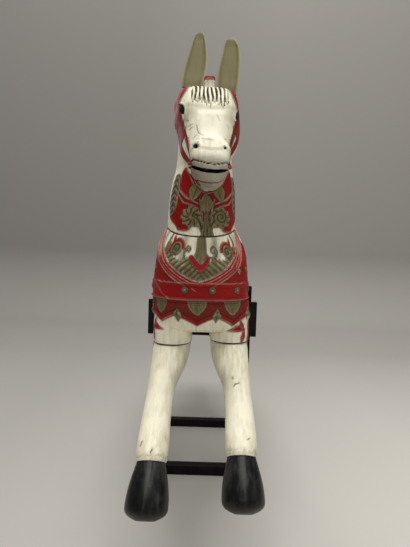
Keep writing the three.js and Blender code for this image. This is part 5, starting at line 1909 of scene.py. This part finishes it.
# %% [markdown]
# The wave of the flutes is stored on the skin before it is cut off at the body, so that the dirt
# still knows where the hollows are after the cut.

# %% Carve and paint the tail
grid, wave = tail_grid()
body_room = closed_skin("body_room", body_rings(body_stations(), 120))
tail_skin = closed_skin("tail_skin", grid)
layer = tail_skin.data.attributes.new("wave", "FLOAT", "POINT")
layer.data.foreach_set("value", np.concatenate([wave.ravel(), [0, 0]]).astype(np.float32))
tail_mesh = made_one(tail_skin, removed=[body_room])
pattern = bare_wood(len(tail_mesh.vertices))
values = np.empty(len(tail_mesh.vertices), np.float32)
tail_mesh.attributes["wave"].data.foreach_get("value", values)
pattern["dark"] = 0.8 * step(-values, 0.3, 1.0)
pattern["rim"] = 0.35 * step(values, 0.5, 1.0)
tail_mesh.attributes.remove(tail_mesh.attributes["wave"])
carve_and_paint(tail_mesh, pattern, sharp=60)
finished("tail_carving", tail_mesh, horse_finish, "painted_horse", "tail")

# %% [markdown]
# ## Stand
# The stand is plain lumber. Its nodes have the right shape but razor edges, so each is copied,
# its loose triangles are merged, and a small Bevel modifier rounds the edges as a sander does.

# %% Stand
STAND = [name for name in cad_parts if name.startswith(
    ("side_rail", "upright", "cross_bar", "cradle_board"))]
for name in sorted(STAND):
    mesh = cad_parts[name].data.copy()
    mesh.name = name + "_lumber"
    piece = finished(name + "_lumber", mesh, stand_finish, "black_stand", name)
    weld = piece.modifiers.new("weld", "WELD")
    weld.merge_threshold = 1e-5
    bevel = piece.modifiers.new("sanded_edges", "BEVEL")
    bevel.width, bevel.segments, bevel.limit_method = 0.0022, 3, "ANGLE"
    bevel.angle_limit = math.radians(50)
print("stand:", len(STAND), "pieces of lumber")

# %% [markdown]
# ## Floor
# A wide pale floor curves up behind the horse, so that no edge shows. Its colour carries painted
# shade: darker with distance and to one side, which lets the lit horse stand out.

# %% Floor finish
floor_finish, tree, shader = finish_named("studio_floor")
spot = add_node(tree, "ShaderNodeTexCoord").outputs["Object"]
spot = add_node(tree, "ShaderNodeSeparateXYZ", {"Vector": spot})
far = add_node(tree, "ShaderNodeMapRange", {"Value": spot.outputs["Y"], "From Min": -0.4,
                                            "From Max": 1.9}).outputs[0]
aside = add_node(tree, "ShaderNodeMapRange", {"Value": spot.outputs["X"], "From Min": 1.0,
                                              "From Max": -1.0, "To Max": 0.5}).outputs[0]
# Painted shade: darker far back and towards the horse's right.
tone = mixed(tree, far, (0.46, 0.445, 0.415, 1), (0.29, 0.28, 0.262, 1))
tone = mixed(tree, aside, tone, (0.185, 0.18, 0.175, 1))
tree.links.new(tone, shader.inputs["Base Color"])
shader.inputs["Roughness"].default_value = 0.9
print(floor_finish.name, "has", len(tree.nodes), "nodes")

# %% [markdown]
# The floor's surface is one profile carried sideways. It is staging and no part of the horse.


# %% Floor
def sweep_floor():
    """Grid whose profile is level, then a quarter circle, then upright."""
    bend = np.linspace(0, np.pi / 2, 24)
    radius, back = 900.0, 3600.0
    y = np.concatenate([[-5200], back + radius * np.sin(bend), [back + radius]])
    z = np.concatenate([[0], radius * (1 - np.cos(bend)), [7000]])
    x = np.linspace(-14000, 14000, 3)
    grid = np.stack(np.broadcast_arrays(x[None, :], y[:, None], z[:, None]), -1)
    rows, columns = grid.shape[:2]
    i = np.arange(rows - 1)[:, None] * columns + np.arange(columns - 1)[None, :]
    quads = np.stack([i, i + 1, i + 1 + columns, i + columns], -1).reshape(-1, 4)
    mesh = bpy.data.meshes.new("floor")
    mesh.from_pydata(to_frame(grid.reshape(-1, 3)), [], quads.tolist())
    mesh.materials.append(floor_finish)
    mesh.shade_smooth()
    return mesh


shown("floor", sweep_floor())
